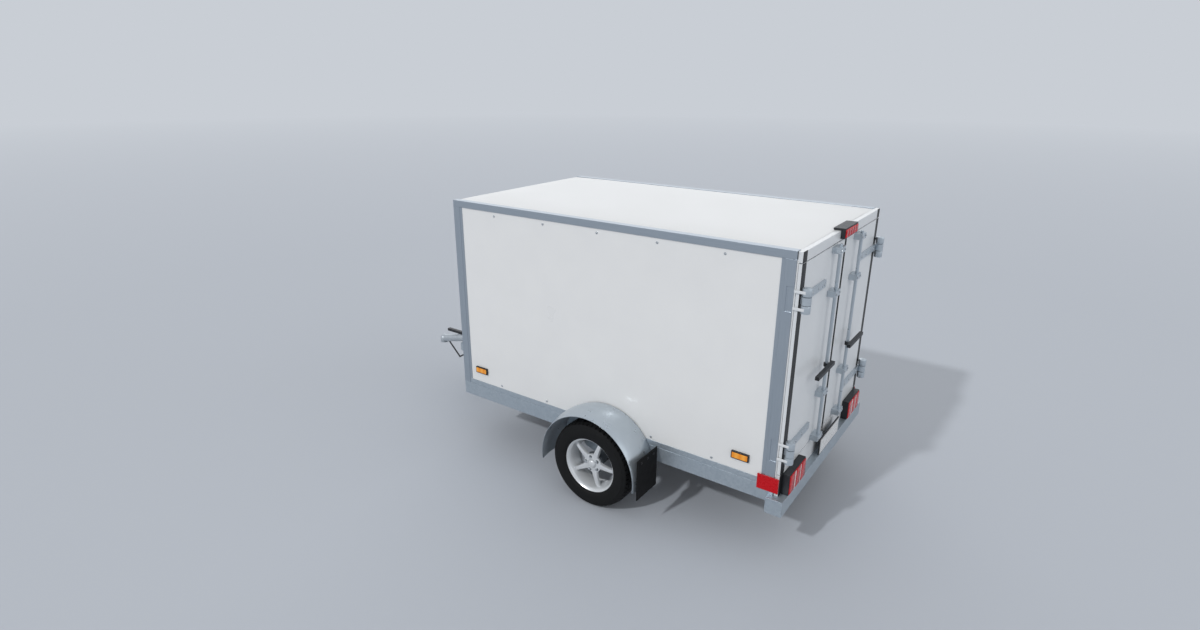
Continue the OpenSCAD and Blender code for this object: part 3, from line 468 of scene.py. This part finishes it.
# %% Materials and edges for the CAD nodes
BY_SLOT = {
    "galvanised_steel": galvanised, "anodised_aluminium": anodised["upright"],
    "white_panel": white_board, "door_sheet": door_sheet, "phenolic_plywood": mesh_ply,
    "zinc_cast": cast_zinc, "black_rubber": seal_rubber, "black_plastic": black_abs,
    "black_painted_rod": rod_paint, "tyre_rubber": tyre_rubber, "rim_silver": silver,
    "amber_lens": amber_acrylic, "red_lens": red_acrylic, "plate_white": plate_face,
}
SPECIAL = {
    "top_rails": anodised["lengthwise"], "roof_panel": roof_white_with_painted_shade, "left_hub": iron_paint_and_pocket_shade,
    "right_hub": iron_paint_and_pocket_shade, "mudflaps": flap_rubber, "mudguards": pressing,
    "left_door_hinges": pressing, "right_door_hinges": pressing,
    "left_rod_guides": pressing, "right_rod_guides": pressing,
    "left_lock_rod": pressing, "right_lock_rod": pressing,
    "side_reflectors": red_reflex, "coupling_handle": black_abs,
}
USUAL_EDGE_MM = 1.5
EDGE_MM = {"roof_panel": 0.0, "number_plate": 0.6, "left_door_seals": 0.8, "right_door_seals": 0.8,
           "frame_seals": 0.8, "mudguards": 0.0, "side_reflectors": 1.0, "marker_lenses": 1.5,
           "coupling_head": 0.0}


def dress(node, material, edge_mm):
    """Gives a CAD node its material, smooth shading, and edges rounded by modifiers."""
    body = frame["nodes"][node]
    body.data.materials.clear()
    body.data.materials.append(material)
    if "custom_normal" in body.data.attributes:
        body.data.attributes.remove(body.data.attributes["custom_normal"])
    body.data.polygons.foreach_set("use_smooth", [True] * len(body.data.polygons))
    weld = body.modifiers.new("join_seams", "WELD")
    weld.merge_threshold = 0.02 * MM
    if edge_mm:
        flat = body.modifiers.new("join_flat_faces", "DECIMATE")
        flat.decimate_type = "DISSOLVE"
        flat.angle_limit = math.radians(0.5)
        bevel = body.modifiers.new("round_edges", "BEVEL")
        bevel.width = edge_mm * MM
        bevel.segments = 2
        bevel.limit_method = "ANGLE"
        bevel.angle_limit = math.radians(38)
    body.modifiers.new("even_normals", "WEIGHTED_NORMAL")


for sub in frame["record"]["subparts"]:
    name = sub["node"]
    finish = SPECIAL.get(name, BY_SLOT[sub["material_slot"]])
    dress(name, finish, EDGE_MM.get(name, USUAL_EDGE_MM))

# %% [markdown]
# ## Tools for new pieces
# Most of the new pieces are turned on a lathe, cut from bar, or pressed. So four builders are
# enough: one turns a profile round an axis, one joins closed sections, one makes a softened block
# from its two corners, and one draws a round bead along a line. Each adds to a bmesh, and one
# function turns the bmesh into a named piece that rides on its body.


# %% Places on the CAD nodes
def islands(node):
    """The boxes of a CAD node's separate solids, as low and high corners."""
    data = frame["nodes"][node].data
    spots, root = {}, {}
    key = [spots.setdefault(tuple(round(c, 5) for c in v.co), v.index) for v in data.vertices]

    def find(i):
        while root.setdefault(i, i) != i:
            i = root[i]
        return i

    for polygon in data.polygons:
        first, *rest = (find(key[i]) for i in polygon.vertices)
        for other in rest:
            root[find(other)] = find(first)
    groups = {}
    for vertex in data.vertices:
        groups.setdefault(find(key[vertex.index]), []).append(vertex.co)
    boxes = [(Vector([min(c[i] for c in g) for i in range(3)]),
              Vector([max(c[i] for c in g) for i in range(3)])) for g in groups.values()]
    return sorted(boxes, key=lambda b: (round(b[0].z, 3), round(b[0].y, 3)))


def facing(normal, at):
    """A frame whose local Z points along normal, at a place."""
    return Matrix.Translation(at) @ Vector(normal).to_track_quat("Z", "Y").to_matrix().to_4x4()


print("boxes of", len(islands("mudflaps")), "mudflaps, as a try")


# %% Turned, joined, block and bead builders
def turned(bm, profile, where, steps=24, material=0):
    """Turns a profile of (radius, height) round local Z. Six steps give a hexagon."""
    rings = []
    for radius, height in profile:
        if radius < 1e-6:
            rings.append([bm.verts.new(where @ Vector((0, 0, height)))])
            continue
        turns = [a * math.tau / steps for a in range(steps)]
        ring = [Vector((radius * math.cos(a), radius * math.sin(a), height)) for a in turns]
        rings.append([bm.verts.new(where @ place) for place in ring])
    for low, high in zip(rings, rings[1:]):
        for a in range(steps):
            b = (a + 1) % steps
            corners = [low[a % len(low)], low[b % len(low)],
                       high[b % len(high)], high[a % len(high)]]
            corners = list(dict.fromkeys(corners))
            if len(corners) > 2:
                bm.faces.new(corners).material_index = material


def lofted(bm, sections, material=0):
    """Joins closed sections of equal length, and caps both ends."""
    rows = [[bm.verts.new(p) for p in section] for section in sections]
    for low, high in zip(rows, rows[1:]):
        for a in range(len(low)):
            b = (a + 1) % len(low)
            bm.faces.new([low[a], low[b], high[b], high[a]]).material_index = material
    bm.faces.new(rows[0][::-1]).material_index = material
    bm.faces.new(rows[-1]).material_index = material


def slab(bm, low, high, round_mm=1.5, material=0):
    """A block with rounded upright edges and softened ends, from its two corners."""
    r = min(round_mm * MM, (high.x - low.x) / 3, (high.y - low.y) / 3, (high.z - low.z) / 3)

    k = r * 0.3  # how far the middle of a rounded edge stands in

    def section(z, inset):
        x0, x1, y0, y1 = low.x + inset, high.x - inset, low.y + inset, high.y - inset
        return [Vector(p) for p in (
            (x0 + r, y0, z), (x1 - r, y0, z), (x1 - k, y0 + k, z),
            (x1, y0 + r, z), (x1, y1 - r, z), (x1 - k, y1 - k, z),
            (x1 - r, y1, z), (x0 + r, y1, z), (x0 + k, y1 - k, z),
            (x0, y1 - r, z), (x0, y0 + r, z), (x0 + k, y0 + k, z))]

    # how far in from an end, and how much smaller all round, in parts of the radius
    ends = ((0.0, 0.6), (0.4, 0.15), (1.0, 0.0))
    lofted(bm, [section(low.z + r * rise, r * inset) for rise, inset in ends]
           + [section(high.z - r * rise, r * inset) for rise, inset in ends[::-1]], material)


def bead(bm, points, radius, ripple=0.0, pitch=0.004, steps=8, material=0):
    """A round bead along a line. A ripple makes the scales of a weld."""
    length, line = 0.0, []
    for a, b in zip(points, points[1:]):
        a, b = Vector(a), Vector(b)
        count = max(2, int((b - a).length / (pitch / 3 if ripple else 20 * MM)))
        line += [(a.lerp(b, i / count), b - a) for i in range(count + 1)]
    rings, before = [], None
    for at, along in line:
        length += (at - before).length if before else 0
        before = at
        turn = along.to_track_quat("Z", "Y")
        r = radius * (1 + ripple * abs(math.sin(math.pi * length / pitch)))
        turns = [i * math.tau / steps for i in range(steps)]
        rings.append([at + turn @ Vector((r * math.cos(t), r * math.sin(t), 0)) for t in turns])
    lofted(bm, rings, material)


def piece(name, bm, body, materials, replaces=(), angle=40):
    """Makes a bmesh into a named piece that rides on a body."""
    bmesh.ops.recalc_face_normals(bm, faces=bm.faces)
    data = bpy.data.meshes.new(name)
    bm.to_mesh(data)
    bm.free()
    data.polygons.foreach_set("use_smooth", [True] * len(data.polygons))
    data.set_sharp_from_angle(angle=math.radians(angle))
    for material in materials:
        data.materials.append(material)
    made = bpy.data.objects.new(name, data)
    scene.collection.objects.link(made)
    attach(made, body)
    if replaces:
        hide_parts(*replaces)
    print(name, len(data.polygons), "faces on", body)


SIDES = (("left", 1), ("right", -1))
print("builders ready")

# %% [markdown]
# ## Tyres
# A road tyre has a crowned tread with grooves round it, shoulder blocks cut across, and a sidewall
# that bulges over the rim. A turned profile alone would give smooth rings, so the profile is
# walked round in 216 small steps. Every fourth step drops the shoulder blocks, and every eighth
# the ribs, by the depth of the tread.

# %% Tyres
TREAD = 7.5 * MM
CROWN_EDGE, CROWN_DROP = 0.0755, 0.011  # half the tread's width, and how far its edge is lower
STEPS = 216
BEAD_SEAT = (0.180, 0.060)
# the sidewall from the rim to the shoulder: radius, and distance from the tyre's middle
WALL = [(0.186, 0.070), (0.190, 0.078), (0.197, 0.0815), (0.203, 0.0865), (0.206, 0.0868),
        (0.208, 0.0880), (0.222, 0.0895), (0.238, 0.0900), (0.252, 0.0896), (0.262, 0.0885),
        (0.264, 0.0868), (0.272, 0.0850), (0.281, 0.0815), (0.287, 0.0780)]
# the crown from the shoulder to the middle: distance from the middle, and what is there
CROWN_LINE = [(CROWN_EDGE, "block"), (0.066, "block"), (0.0565, "block"), (0.0535, "groove"),
              (0.0465, "groove"), (0.0435, "rib"), (0.034, "rib"), (0.0245, "rib"),
              (0.0215, "groove"), (0.0145, "groove"), (0.0115, "middle"), (0.0, "middle")]


def tyre(side):
    """A tyre of the CAD tyre's size. Returns the wheel's middle."""
    low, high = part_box(side + "_tyre")
    mid, radius = (low + high) / 2, (high.z - low.z) / 2
    bm = bmesh.new()

    def at(r, y, a):
        angle = a * math.tau / STEPS
        return bm.verts.new((mid.x + r * math.sin(angle), mid.y + y, mid.z + r * math.cos(angle)))

    def crown_r(y, kind, a, flip):
        r = radius - CROWN_DROP * (abs(y) / CROWN_EDGE) ** 3
        cut = {"block": (a + flip) % 4 == 0, "rib": (a + 2 * flip) % 8 == 3,
               "middle": False, "groove": True}[kind]
        return r - TREAD if cut else r

    rings = []
    for a in range(STEPS):
        ring = [at(r, -y, a) for r, y in WALL]
        ring += [at(crown_r(y, kind, a, 0), -y, a) for y, kind in CROWN_LINE]
        ring += [at(crown_r(y, kind, a, 2), y, a) for y, kind in CROWN_LINE[-2::-1]]
        ring += [at(r, y, a) for r, y in WALL[::-1]]
        ring += [at(BEAD_SEAT[0], BEAD_SEAT[1], a), at(BEAD_SEAT[0], -BEAD_SEAT[1], a)]
        rings.append(ring)
    for a in range(STEPS):
        one, two = rings[a], rings[(a + 1) % STEPS]
        for i in range(len(one)):
            j = (i + 1) % len(one)
            bm.faces.new([one[i], one[j], two[j], two[i]])
    piece(f"{side}_tyre_tread", bm, f"{side}_wheel", [tyre_rubber],
          [f"{side}_tyre"], 30)
    return mid


WHEEL = {side: tyre(side) for side, _ in SIDES}

# %% [markdown]
# ## Rims
# The rim is a cast alloy wheel: a turned barrel that holds the tyre's beads, and five spokes that
# widen into the hub ring and again into the barrel. The barrel is turned, and each spoke is a loft
# of rounded sections, so that its front stays crowned. The first spoke leans back 21 degrees from
# straight up.

# %% Barrel and spokes
SPOKES, SPOKE_TURN = 5, 21
SPOKE_STEP = 360 / SPOKES
SPOKE_SET_BACK = 32 * MM  # from the barrel's outer lip to the front of the spokes
# a spoke along its length: radius, half its width, and how far its front is lifted
STATIONS = [(0.050, 0.023, 0.0), (0.060, 0.021, 0.001), (0.072, 0.0185, 0.0025),
            (0.090, 0.0165, 0.003), (0.110, 0.015, 0.003), (0.130, 0.0138, 0.0025),
            (0.146, 0.013, 0.001), (0.158, 0.0132, -0.002), (0.166, 0.0148, -0.006),
            (0.1705, 0.0175, -0.010)]


def wheel_faces(side):
    """How far the barrel's lip and the front of the spokes stand out from the wheel's middle."""
    low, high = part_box(side + "_rim")
    lip = max(abs(low.y), abs(high.y)) - abs(WHEEL[side].y)
    return lip, lip - SPOKE_SET_BACK


def on_wheel(side, sign, radius, angle, out_by):
    """A point on a wheel, from its radius, its angle from the front and how far it stands out."""
    mid = WHEEL[side]
    return Vector((mid.x + radius * math.cos(angle), mid.y + sign * out_by,
                   mid.z + radius * math.sin(angle)))


def spoke(bm, side, sign, angle, face):
    """One spoke: rounded sections at the stations along its radius."""
    mid, sections = WHEEL[side], []
    for r, half, lift in STATIONS:
        top, back = face + lift, face - 0.021
        shape = [(-half, back), (-half * 1.02, top - 0.007), (-half * 0.86, top - 0.0015),
                 (-half * 0.5, top), (half * 0.5, top), (half * 0.86, top - 0.0015),
                 (half * 1.02, top - 0.007), (half, back)]
        sections.append([Vector((mid.x + r * math.cos(angle) - s * math.sin(angle),
                                 mid.y + sign * y,
                                 mid.z + r * math.sin(angle) + s * math.cos(angle)))
                         for s, y in shape])
    lofted(bm, sections)


def rim(side, sign):
    """The barrel, the dished middle and the spokes, as one casting."""
    out, face = wheel_faces(side)
    bm = bmesh.new()
    where = facing((0, sign, 0), WHEEL[side])
    # radius, and distance out from the wheel's middle
    barrel = [(0.192, -out), (0.193, -out + 0.002), (0.192, -out + 0.004), (0.182, -out + 0.008),
              (0.178, -out + 0.03), (0.164, -out + 0.05), (0.164, out - 0.058),
              (0.177, out - 0.036), (0.180, out - 0.010), (0.190, out - 0.004),
              (0.193, out - 0.002), (0.192, out), (0.188, out), (0.184, out - 0.003),
              (0.178, out - 0.010), (0.172, out - 0.020), (0.170, out - 0.038),
              (0.158, out - 0.060), (0.158, -out + 0.050), (0.172, -out + 0.030),
              (0.176, -out + 0.006), (0.188, -out), (0.192, -out)]
    turned(bm, barrel, where, 96)
    dish = [(0.0, face - 0.022), (0.060, face - 0.022), (0.065, face - 0.018),
            (0.066, face - 0.005), (0.063, face - 0.001), (0.045, face + 0.002),
            (0.032, face + 0.003), (0.030, face + 0.001), (0.029, face - 0.004),
            (0.0, face - 0.004)]
    turned(bm, dish, where, 60)
    for i in range(SPOKES):
        # with the face towards the eye, a positive turn leans the first spoke to the rear
        spoke(bm, side, sign, math.radians(90 + SPOKE_TURN + i * SPOKE_STEP), face)
    piece(f"{side}_alloy_rim", bm, f"{side}_wheel", [silver], [f"{side}_rim"], 32)


print("each rim has", SPOKES, "spokes of", len(STATIONS), "sections")

# %% [markdown]
# ## Hubs, wheel bolts and caps
# Behind the spokes sits an iron hub, a drum with a flange and a nose. Five hexagon bolts with
# domed ends hold the rim, each on a thin dark disc that is painted shade for the hollow of its
# pocket, and a rubber valve comes out between two spokes. A pressed cap closes the middle. All are
# bodies of revolution, so each is one turned profile.

# %% Hubs, wheel bolts and caps
BOLT_CIRCLE, VALVE_CIRCLE = 0.047, 0.152
BETWEEN = math.radians(90 + SPOKE_TURN + SPOKE_STEP / 2)  # halfway between two spokes


def hub(side, sign):
    low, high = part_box(side + "_hub")
    inboard = min(abs(low.y), abs(high.y)) - abs(WHEEL[side].y)
    face = wheel_faces(side)[1]
    bm = bmesh.new()
    turned(bm, [(0.0176, inboard), (0.040, inboard), (0.044, inboard + 0.004),
                (0.044, face - 0.037), (0.069, face - 0.036), (0.072, face - 0.033),
                (0.072, face - 0.0225), (0.029, face - 0.0225), (0.028, face - 0.002),
                (0.0, face - 0.002)], facing((0, sign, 0), WHEEL[side]), 56)
    piece(f"{side}_wheel_hub", bm, f"{side}_wheel", [iron_paint_and_pocket_shade],
          [f"{side}_hub"])


def wheel_bolts(side, sign):
    out, face = wheel_faces(side)
    bm = bmesh.new()
    for i in range(SPOKES):
        angle = BETWEEN + math.radians(i * SPOKE_STEP)
        seat = facing((0, sign, 0), on_wheel(side, sign, BOLT_CIRCLE, angle, face + 0.0012))
        # a thin dark disc under each bolt head: painted shade that stands for the hollow of the bolt's pocket in
        # the rim
        turned(bm, [(0.0115, -0.001), (0.0115, 0.0008), (0.0098, 0.0012), (0.0, 0.0006)],
               seat, 24, 1)
        turned(bm, [(0.0078, 0.0), (0.0085, 0.001), (0.0085, 0.006), (0.0075, 0.008)], seat, 6)
        turned(bm, [(0.0072, 0.006), (0.0066, 0.0095), (0.004, 0.0112), (0.0, 0.0118)], seat, 16)
    stem = facing((0, sign, 0), on_wheel(side, sign, VALVE_CIRCLE, BETWEEN, out - 0.052))
    turned(bm, [(0.006, -0.004), (0.0055, 0.006), (0.0042, 0.008), (0.0042, 0.030),
                (0.0052, 0.031), (0.0052, 0.040), (0.0, 0.041)], stem, 14, 2)
    piece(f"{side}_wheel_bolts", bm, f"{side}_wheel",
          [bright_zinc, iron_paint_and_pocket_shade, seal_rubber])


def centre_cap(side, sign):
    face, mid = wheel_faces(side)[1], WHEEL[side]
    bm = bmesh.new()
    shell = [(0.0, 0.0), (0.0285, 0.0), (0.0285, 0.007), (0.0272, 0.010)]
    shell += [(0.0265 * math.cos(t * math.pi / 20), 0.010 + 0.011 * math.sin(t * math.pi / 20))
              for t in range(1, 10)]
    shell += [(0.0, 0.0212)]
    turned(bm, shell, facing((0, sign, 0), mid + Vector((0, sign * (face - 0.004), 0))), 40)
    piece(f"{side}_centre_cap", bm, f"{side}_wheel", [silver])


for side, sign in SIDES:
    for make in (rim, hub, wheel_bolts, centre_cap):
        make(side, sign)

# %% [markdown]
# ## Roof
# The roof is one moulded skin. It rises from all four edges in a soft shoulder and is almost level
# in the middle, which puts a long highlight near the rear corner. Its edge sits 6 mm under the top
# of the rails, and a bead of sealant closes it against the header. A plain grid is lifted by the
# same smooth curve along and across, because an extruded section could only curve one way.

# %% Roof skin
def shoulder(distance, width):
    """0 at an edge and 1 from that width inwards, along a quarter of an ellipse."""
    t = max(0.0, min(1.0, distance / width))
    return math.sqrt(max(0.0, 1 - (1 - t) ** 2))


roof_low, roof_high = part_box("roof_panel")
rail_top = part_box("top_rails")[1].z
rail_inner = abs(roof_high.y)
EDGE_DROP = 6 * MM
EDGE_Z, CROWN = rail_top - EDGE_DROP, cad_box[1][2] - rail_top + 4 * MM
END_CURVE, SIDE_CURVE = 0.34, 0.30  # how far in from an edge the roof still rises
bm = bmesh.new()
nx, ny = 72, 44  # cells along and across


def spaced(i, n):
    """Grid lines that crowd towards both ends, where the roof curves."""
    return 0.5 - 0.5 * math.cos(math.pi * i / n)


grid = []
for i in range(nx + 1):
    x = roof_low.x + (roof_high.x - roof_low.x) * spaced(i, nx)
    row = []
    for j in range(ny + 1):
        y = -rail_inner + 2 * rail_inner * spaced(j, ny)
        lift = (shoulder(x - roof_low.x, END_CURVE) * shoulder(roof_high.x - x, END_CURVE)
                * shoulder(rail_inner - abs(y), SIDE_CURVE))
        row.append(bm.verts.new((x, y, EDGE_Z + CROWN * lift)))
    grid.append(row)
for a, b in zip(grid, grid[1:]):
    for j in range(ny):
        bm.faces.new([a[j], b[j], b[j + 1], a[j + 1]])
outline = (grid[0] + [row[-1] for row in grid[1:]] + grid[-1][-2::-1]
           + [row[0] for row in grid[-2:0:-1]])
below = [bm.verts.new((v.co.x, v.co.y, roof_low.z)) for v in outline]
for k in range(len(outline)):
    m = (k + 1) % len(outline)
    bm.faces.new([outline[k], outline[m], below[m], below[k]])
bm.faces.new(below)
piece("roof_skin", bm, "trailer", [roof_white_with_painted_shade], ["roof_panel"], 50)
bm = bmesh.new()
BEAD_R = 3 * MM
bead_x, bead_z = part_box("rear_frame")[0].x + BEAD_R + 0.5 * MM, EDGE_Z - 12 * MM
bead(bm, [(bead_x, -rail_inner, bead_z), (bead_x, rail_inner, bead_z)], BEAD_R)
piece("roof_edge_sealant", bm, "trailer", [grey_sealant])

# %% [markdown]
# ## Panel fasteners
# The side and front panels are held along their top and bottom by rows of dome-head rivets with
# washers. A dome is turned from a short rounded profile, because a plain cylinder would have no
# highlight. Screws get a hexagon head, turned in six steps, on a round washer.

# %% Dome and hexagon heads
def dome(bm, at, normal, radius, height):
    """A dome head on a thin washer."""
    seat = facing(normal, at)
    turned(bm, [(radius * 1.35, -0.0005), (radius * 1.35, 0.0008), (radius * 1.25, 0.0013),
                (radius * 0.9, 0.0013)], seat, 20)
    turned(bm, [(radius, 0.0), (radius, height * 0.3), (radius * 0.86, height * 0.68),
                (radius * 0.55, height * 0.93), (0.0, height)], seat, 18)


def hexagon(bm, at, normal, radius, height):
    """A hexagon head with a chamfer, on a round washer."""
    seat = facing(normal, at)
    turned(bm, [(radius * 1.5, -0.0005), (radius * 1.5, 0.0012), (radius * 1.4, 0.0018),
                (radius * 0.9, 0.0018)], seat, 24)
    turned(bm, [(radius, 0.001), (radius, height * 0.85), (radius * 0.86, height),
                (0.0, height)], seat, 6)


print("heads ready")

# %% Panel rivets
RIVET_R, RIVET_H = 0.0062, 0.0042
RIVET_HEIGHTS = (RAIL_Z + 1.426, RAIL_Z + 0.156)
SIDE_PLACES = [FRONT_X - 0.385 - 0.429 * i for i in range(5)]
FRONT_PLACES = [-0.6 + 0.3 * i for i in range(5)]
for side, sign in SIDES:
    low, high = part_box(f"{side}_side_panel")
    face = high.y if sign > 0 else low.y
    bm = bmesh.new()
    for x in SIDE_PLACES:
        for z in RIVET_HEIGHTS:
            dome(bm, Vector((x, face, z)), (0, sign, 0), RIVET_R, RIVET_H)
    piece(f"{side}_panel_rivets", bm, "trailer", [bright_zinc])
bm = bmesh.new()
front_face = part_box("front_panel")[1].x
for y in FRONT_PLACES:
    for z in RIVET_HEIGHTS:
        dome(bm, Vector((front_face, y, z)), (1, 0, 0), RIVET_R, RIVET_H)
piece("front_panel_rivets", bm, "trailer", [bright_zinc])

# %% [markdown]
# ## Fixed hinge knuckles and door gaskets
# The fixed part of each hinge is two knuckles, above and below the door's own knuckle, on a thin
# leaf that runs forward to the post. The knuckles are turned with a rounded end, so that their
# upper edge shines, and they sit on the axis that the door's joint gives. A white gasket fills the
# gap between the post and the closed door.

# %% Fixed hinge knuckles and door gaskets
KNUCKLE_R, KNUCKLE_L = 0.026, 0.044
LEAF_INNER, LEAF_OUTER = HALF_WIDTH - 5 * MM, HALF_WIDTH - 1.5 * MM
GASKET_INNER, GASKET_OUTER = HALF_WIDTH - 60 * MM, HALF_WIDTH - 7 * MM
knuckle = [(0.0, 0.0), (KNUCKLE_R - 0.003, 0.0), (KNUCKLE_R - 0.0008, 0.0008), (KNUCKLE_R, 0.003),
           (KNUCKLE_R, KNUCKLE_L - 0.003), (KNUCKLE_R - 0.0008, KNUCKLE_L - 0.0008),
           (KNUCKLE_R - 0.003, KNUCKLE_L), (0.0, KNUCKLE_L)]
bm = bmesh.new()
for side, sign in SIDES:
    joint = [j for j in frame["joints"] if j["name"] == f"{side}_door_swing"][0]
    px, py = joint["pos_m"][0], joint["pos_m"][1]
    mine = [b for b in islands("hinge_brackets") if (b[0].y > 0) == (sign > 0)]
    y0, y1 = sorted((sign * LEAF_INNER, sign * LEAF_OUTER))
    for low, high in mine:
        for z0 in (low.z, high.z - KNUCKLE_L):
            turned(bm, knuckle, Matrix.Translation((px, py, z0)), 40)
            slab(bm, Vector((px, y0, z0 + 0.014)),
                 Vector((REAR_X - 0.0005, y1, z0 + KNUCKLE_L - 0.014)), 1.0, 1)
        seat = Matrix.Translation((px, py, high.z))
        turned(bm, [(0.0095, -0.001), (0.0095, 0.0005), (0.0075, 0.0022), (0.0, 0.003)], seat, 24)
piece("hinge_knuckles", bm, "trailer", [pressing, door_sheet],
      ["hinge_brackets"])
bm = bmesh.new()
door_low, door_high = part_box("left_door_panel")
for side, sign in SIDES:
    y0, y1 = sorted((sign * GASKET_INNER, sign * GASKET_OUTER))
    slab(bm, Vector((door_high.x + 0.0012, y0, door_low.z - 0.02)),
         Vector((REAR_X + 0.001, y1, door_high.z + 0.02)), 2)
piece("door_gaskets", bm, "trailer", [white_gasket])

# %% [markdown]
# ## Hinge bolts and guide screws
# Each strap hinge is held to the door by a row of dome-head coach bolts, and each guide of a lock
# rod by two hexagon screws. They are placed from the boxes of the CAD solids, so they stay on
# their parts.

# %% Hinge bolts and guide screws
BOLT_SHARES = (0.08, 0.32, 0.56, 0.74)  # along a strap, from its inner end
STRAP_FACE = 14 * MM  # how far the strap stands behind the door's sheet
SCREW_INSET = 12 * MM
for side, sign in SIDES:
    bm = bmesh.new()
    door_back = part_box(f"{side}_door_panel")[0].x
    for low, high in islands(f"{side}_door_hinges"):
        mid_z = (low.z + high.z) / 2
        inner, outer = (low.y, high.y) if sign > 0 else (high.y, low.y)
        for share in BOLT_SHARES:
            at = Vector((door_back - STRAP_FACE, inner + (outer - inner) * share, mid_z))
            dome(bm, at, (-1, 0, 0), 0.0075, 0.0045)
    piece(f"{side}_hinge_bolts", bm, f"{side}_door", [bright_zinc])
    bm = bmesh.new()
    for low, high in islands(f"{side}_rod_guides"):
        for y in (low.y + SCREW_INSET, high.y - SCREW_INSET):
            hexagon(bm, Vector((low.x, y, (low.z + high.z) / 2)), (-1, 0, 0), 0.0055, 0.005)
    piece(f"{side}_guide_screws", bm, f"{side}_door", [bright_zinc])

# %% [markdown]
# ## Lamps
# A tail lamp's lens is moulded in one go from red and clear acrylic: bands of red with pale bands
# between them, each ribbed by small prisms on its face. The lens node is one plain block for each
# lamp, so it is replaced by banded lenses with a raised, ribbed face.

# %% Lamp lenses
# start and end of a band across the lamp, and its acrylic: 0 red, 1 clear
TAIL_BANDS = [(0.00, 0.26, 0), (0.28, 0.37, 1), (0.39, 0.62, 0), (0.64, 0.70, 1), (0.72, 1.00, 0)]
BRAKE_BANDS = [(i / 5 + 0.005, (i + 1) / 5 - 0.005, 0) for i in range(5)]
TAIL_LAMPS_BELOW = RAIL_Z + 0.6
bm = bmesh.new()
for low, high in islands("lamp_lenses"):
    width = high.y - low.y
    bands = TAIL_BANDS if low.z < TAIL_LAMPS_BELOW else BRAKE_BANDS
    slab(bm, Vector((low.x + 0.0025, low.y, low.z)), high, 2)
    for start, end, kind in bands:
        y0, y1 = high.y - end * width + 0.002, high.y - start * width - 0.002
        slab(bm, Vector((low.x, y0, low.z + 0.004)),
             Vector((low.x + 0.004, y1, high.z - 0.004)), 1.2, kind)
piece("lamp_lens_bands", bm, "trailer", [red_acrylic, pale_acrylic], ["lamp_lenses"])
RIM_INSET, RIM_R = 3 * MM, 2.2 * MM
bm = bmesh.new()
for low, high in islands("side_reflectors"):
    face = high.y if low.y > 0 else low.y
    x0, x1, z0, z1 = low.x + RIM_INSET, high.x - RIM_INSET, low.z + RIM_INSET, high.z - RIM_INSET
    bead(bm, [(x, face, z) for x, z in ((x0, z0), (x1, z0), (x1, z1), (x0, z1), (x0, z0))], RIM_R)
piece("reflector_rims", bm, "trailer", [red_acrylic])

# %% [markdown]
# ## Chassis details
# The mudflaps hang from a row of bolts, the coupling is clamped on the drawbar by two cross bolts,
# and the steel parts are joined by short weld beads, galvanised over.

# %% Flap bolts, coupling bolts and welds
FLAP_BOLT_DROP = 30 * MM
CLAMP_PLACES, CLAMP_FACE, CLAMP_HEIGHT = (0.03, 0.085), 32.5 * MM, 34 * MM
RAIL_FLANGE, WELD_R, WELD_RIPPLE = 48 * MM, 3 * MM, 0.5
bm = bmesh.new()
for low, high in islands("mudflaps"):
    for share in (0.2, 0.5, 0.8):
        at = Vector((low.x, low.y + (high.y - low.y) * share, high.z - FLAP_BOLT_DROP))
        hexagon(bm, at, (-1, 0, 0), 0.006, 0.005)
piece("flap_bolts", bm, "trailer", [rod_paint])
bm = bmesh.new()
socket_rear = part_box("coupling_head")[0].x
for ahead in CLAMP_PLACES:
    for side, sign in SIDES:
        at = Vector((socket_rear + ahead, sign * CLAMP_FACE, RAIL_Z + CLAMP_HEIGHT))
        hexagon(bm, at, (0, sign, 0), 0.0095, 0.009)
piece("coupling_bolts", bm, "trailer", [bright_zinc])
bm = bmesh.new()
beam_low, beam_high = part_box("rear_beam")
for side, sign in SIDES:
    inner = sign * (HALF_WIDTH - RAIL_FLANGE)
    bead(bm, [(beam_high.x, inner, beam_high.z - 0.045), (beam_high.x, inner, beam_low.z + 0.02)],
         WELD_R, WELD_RIPPLE)
piece("beam_welds", bm, "trailer", [galvanised])
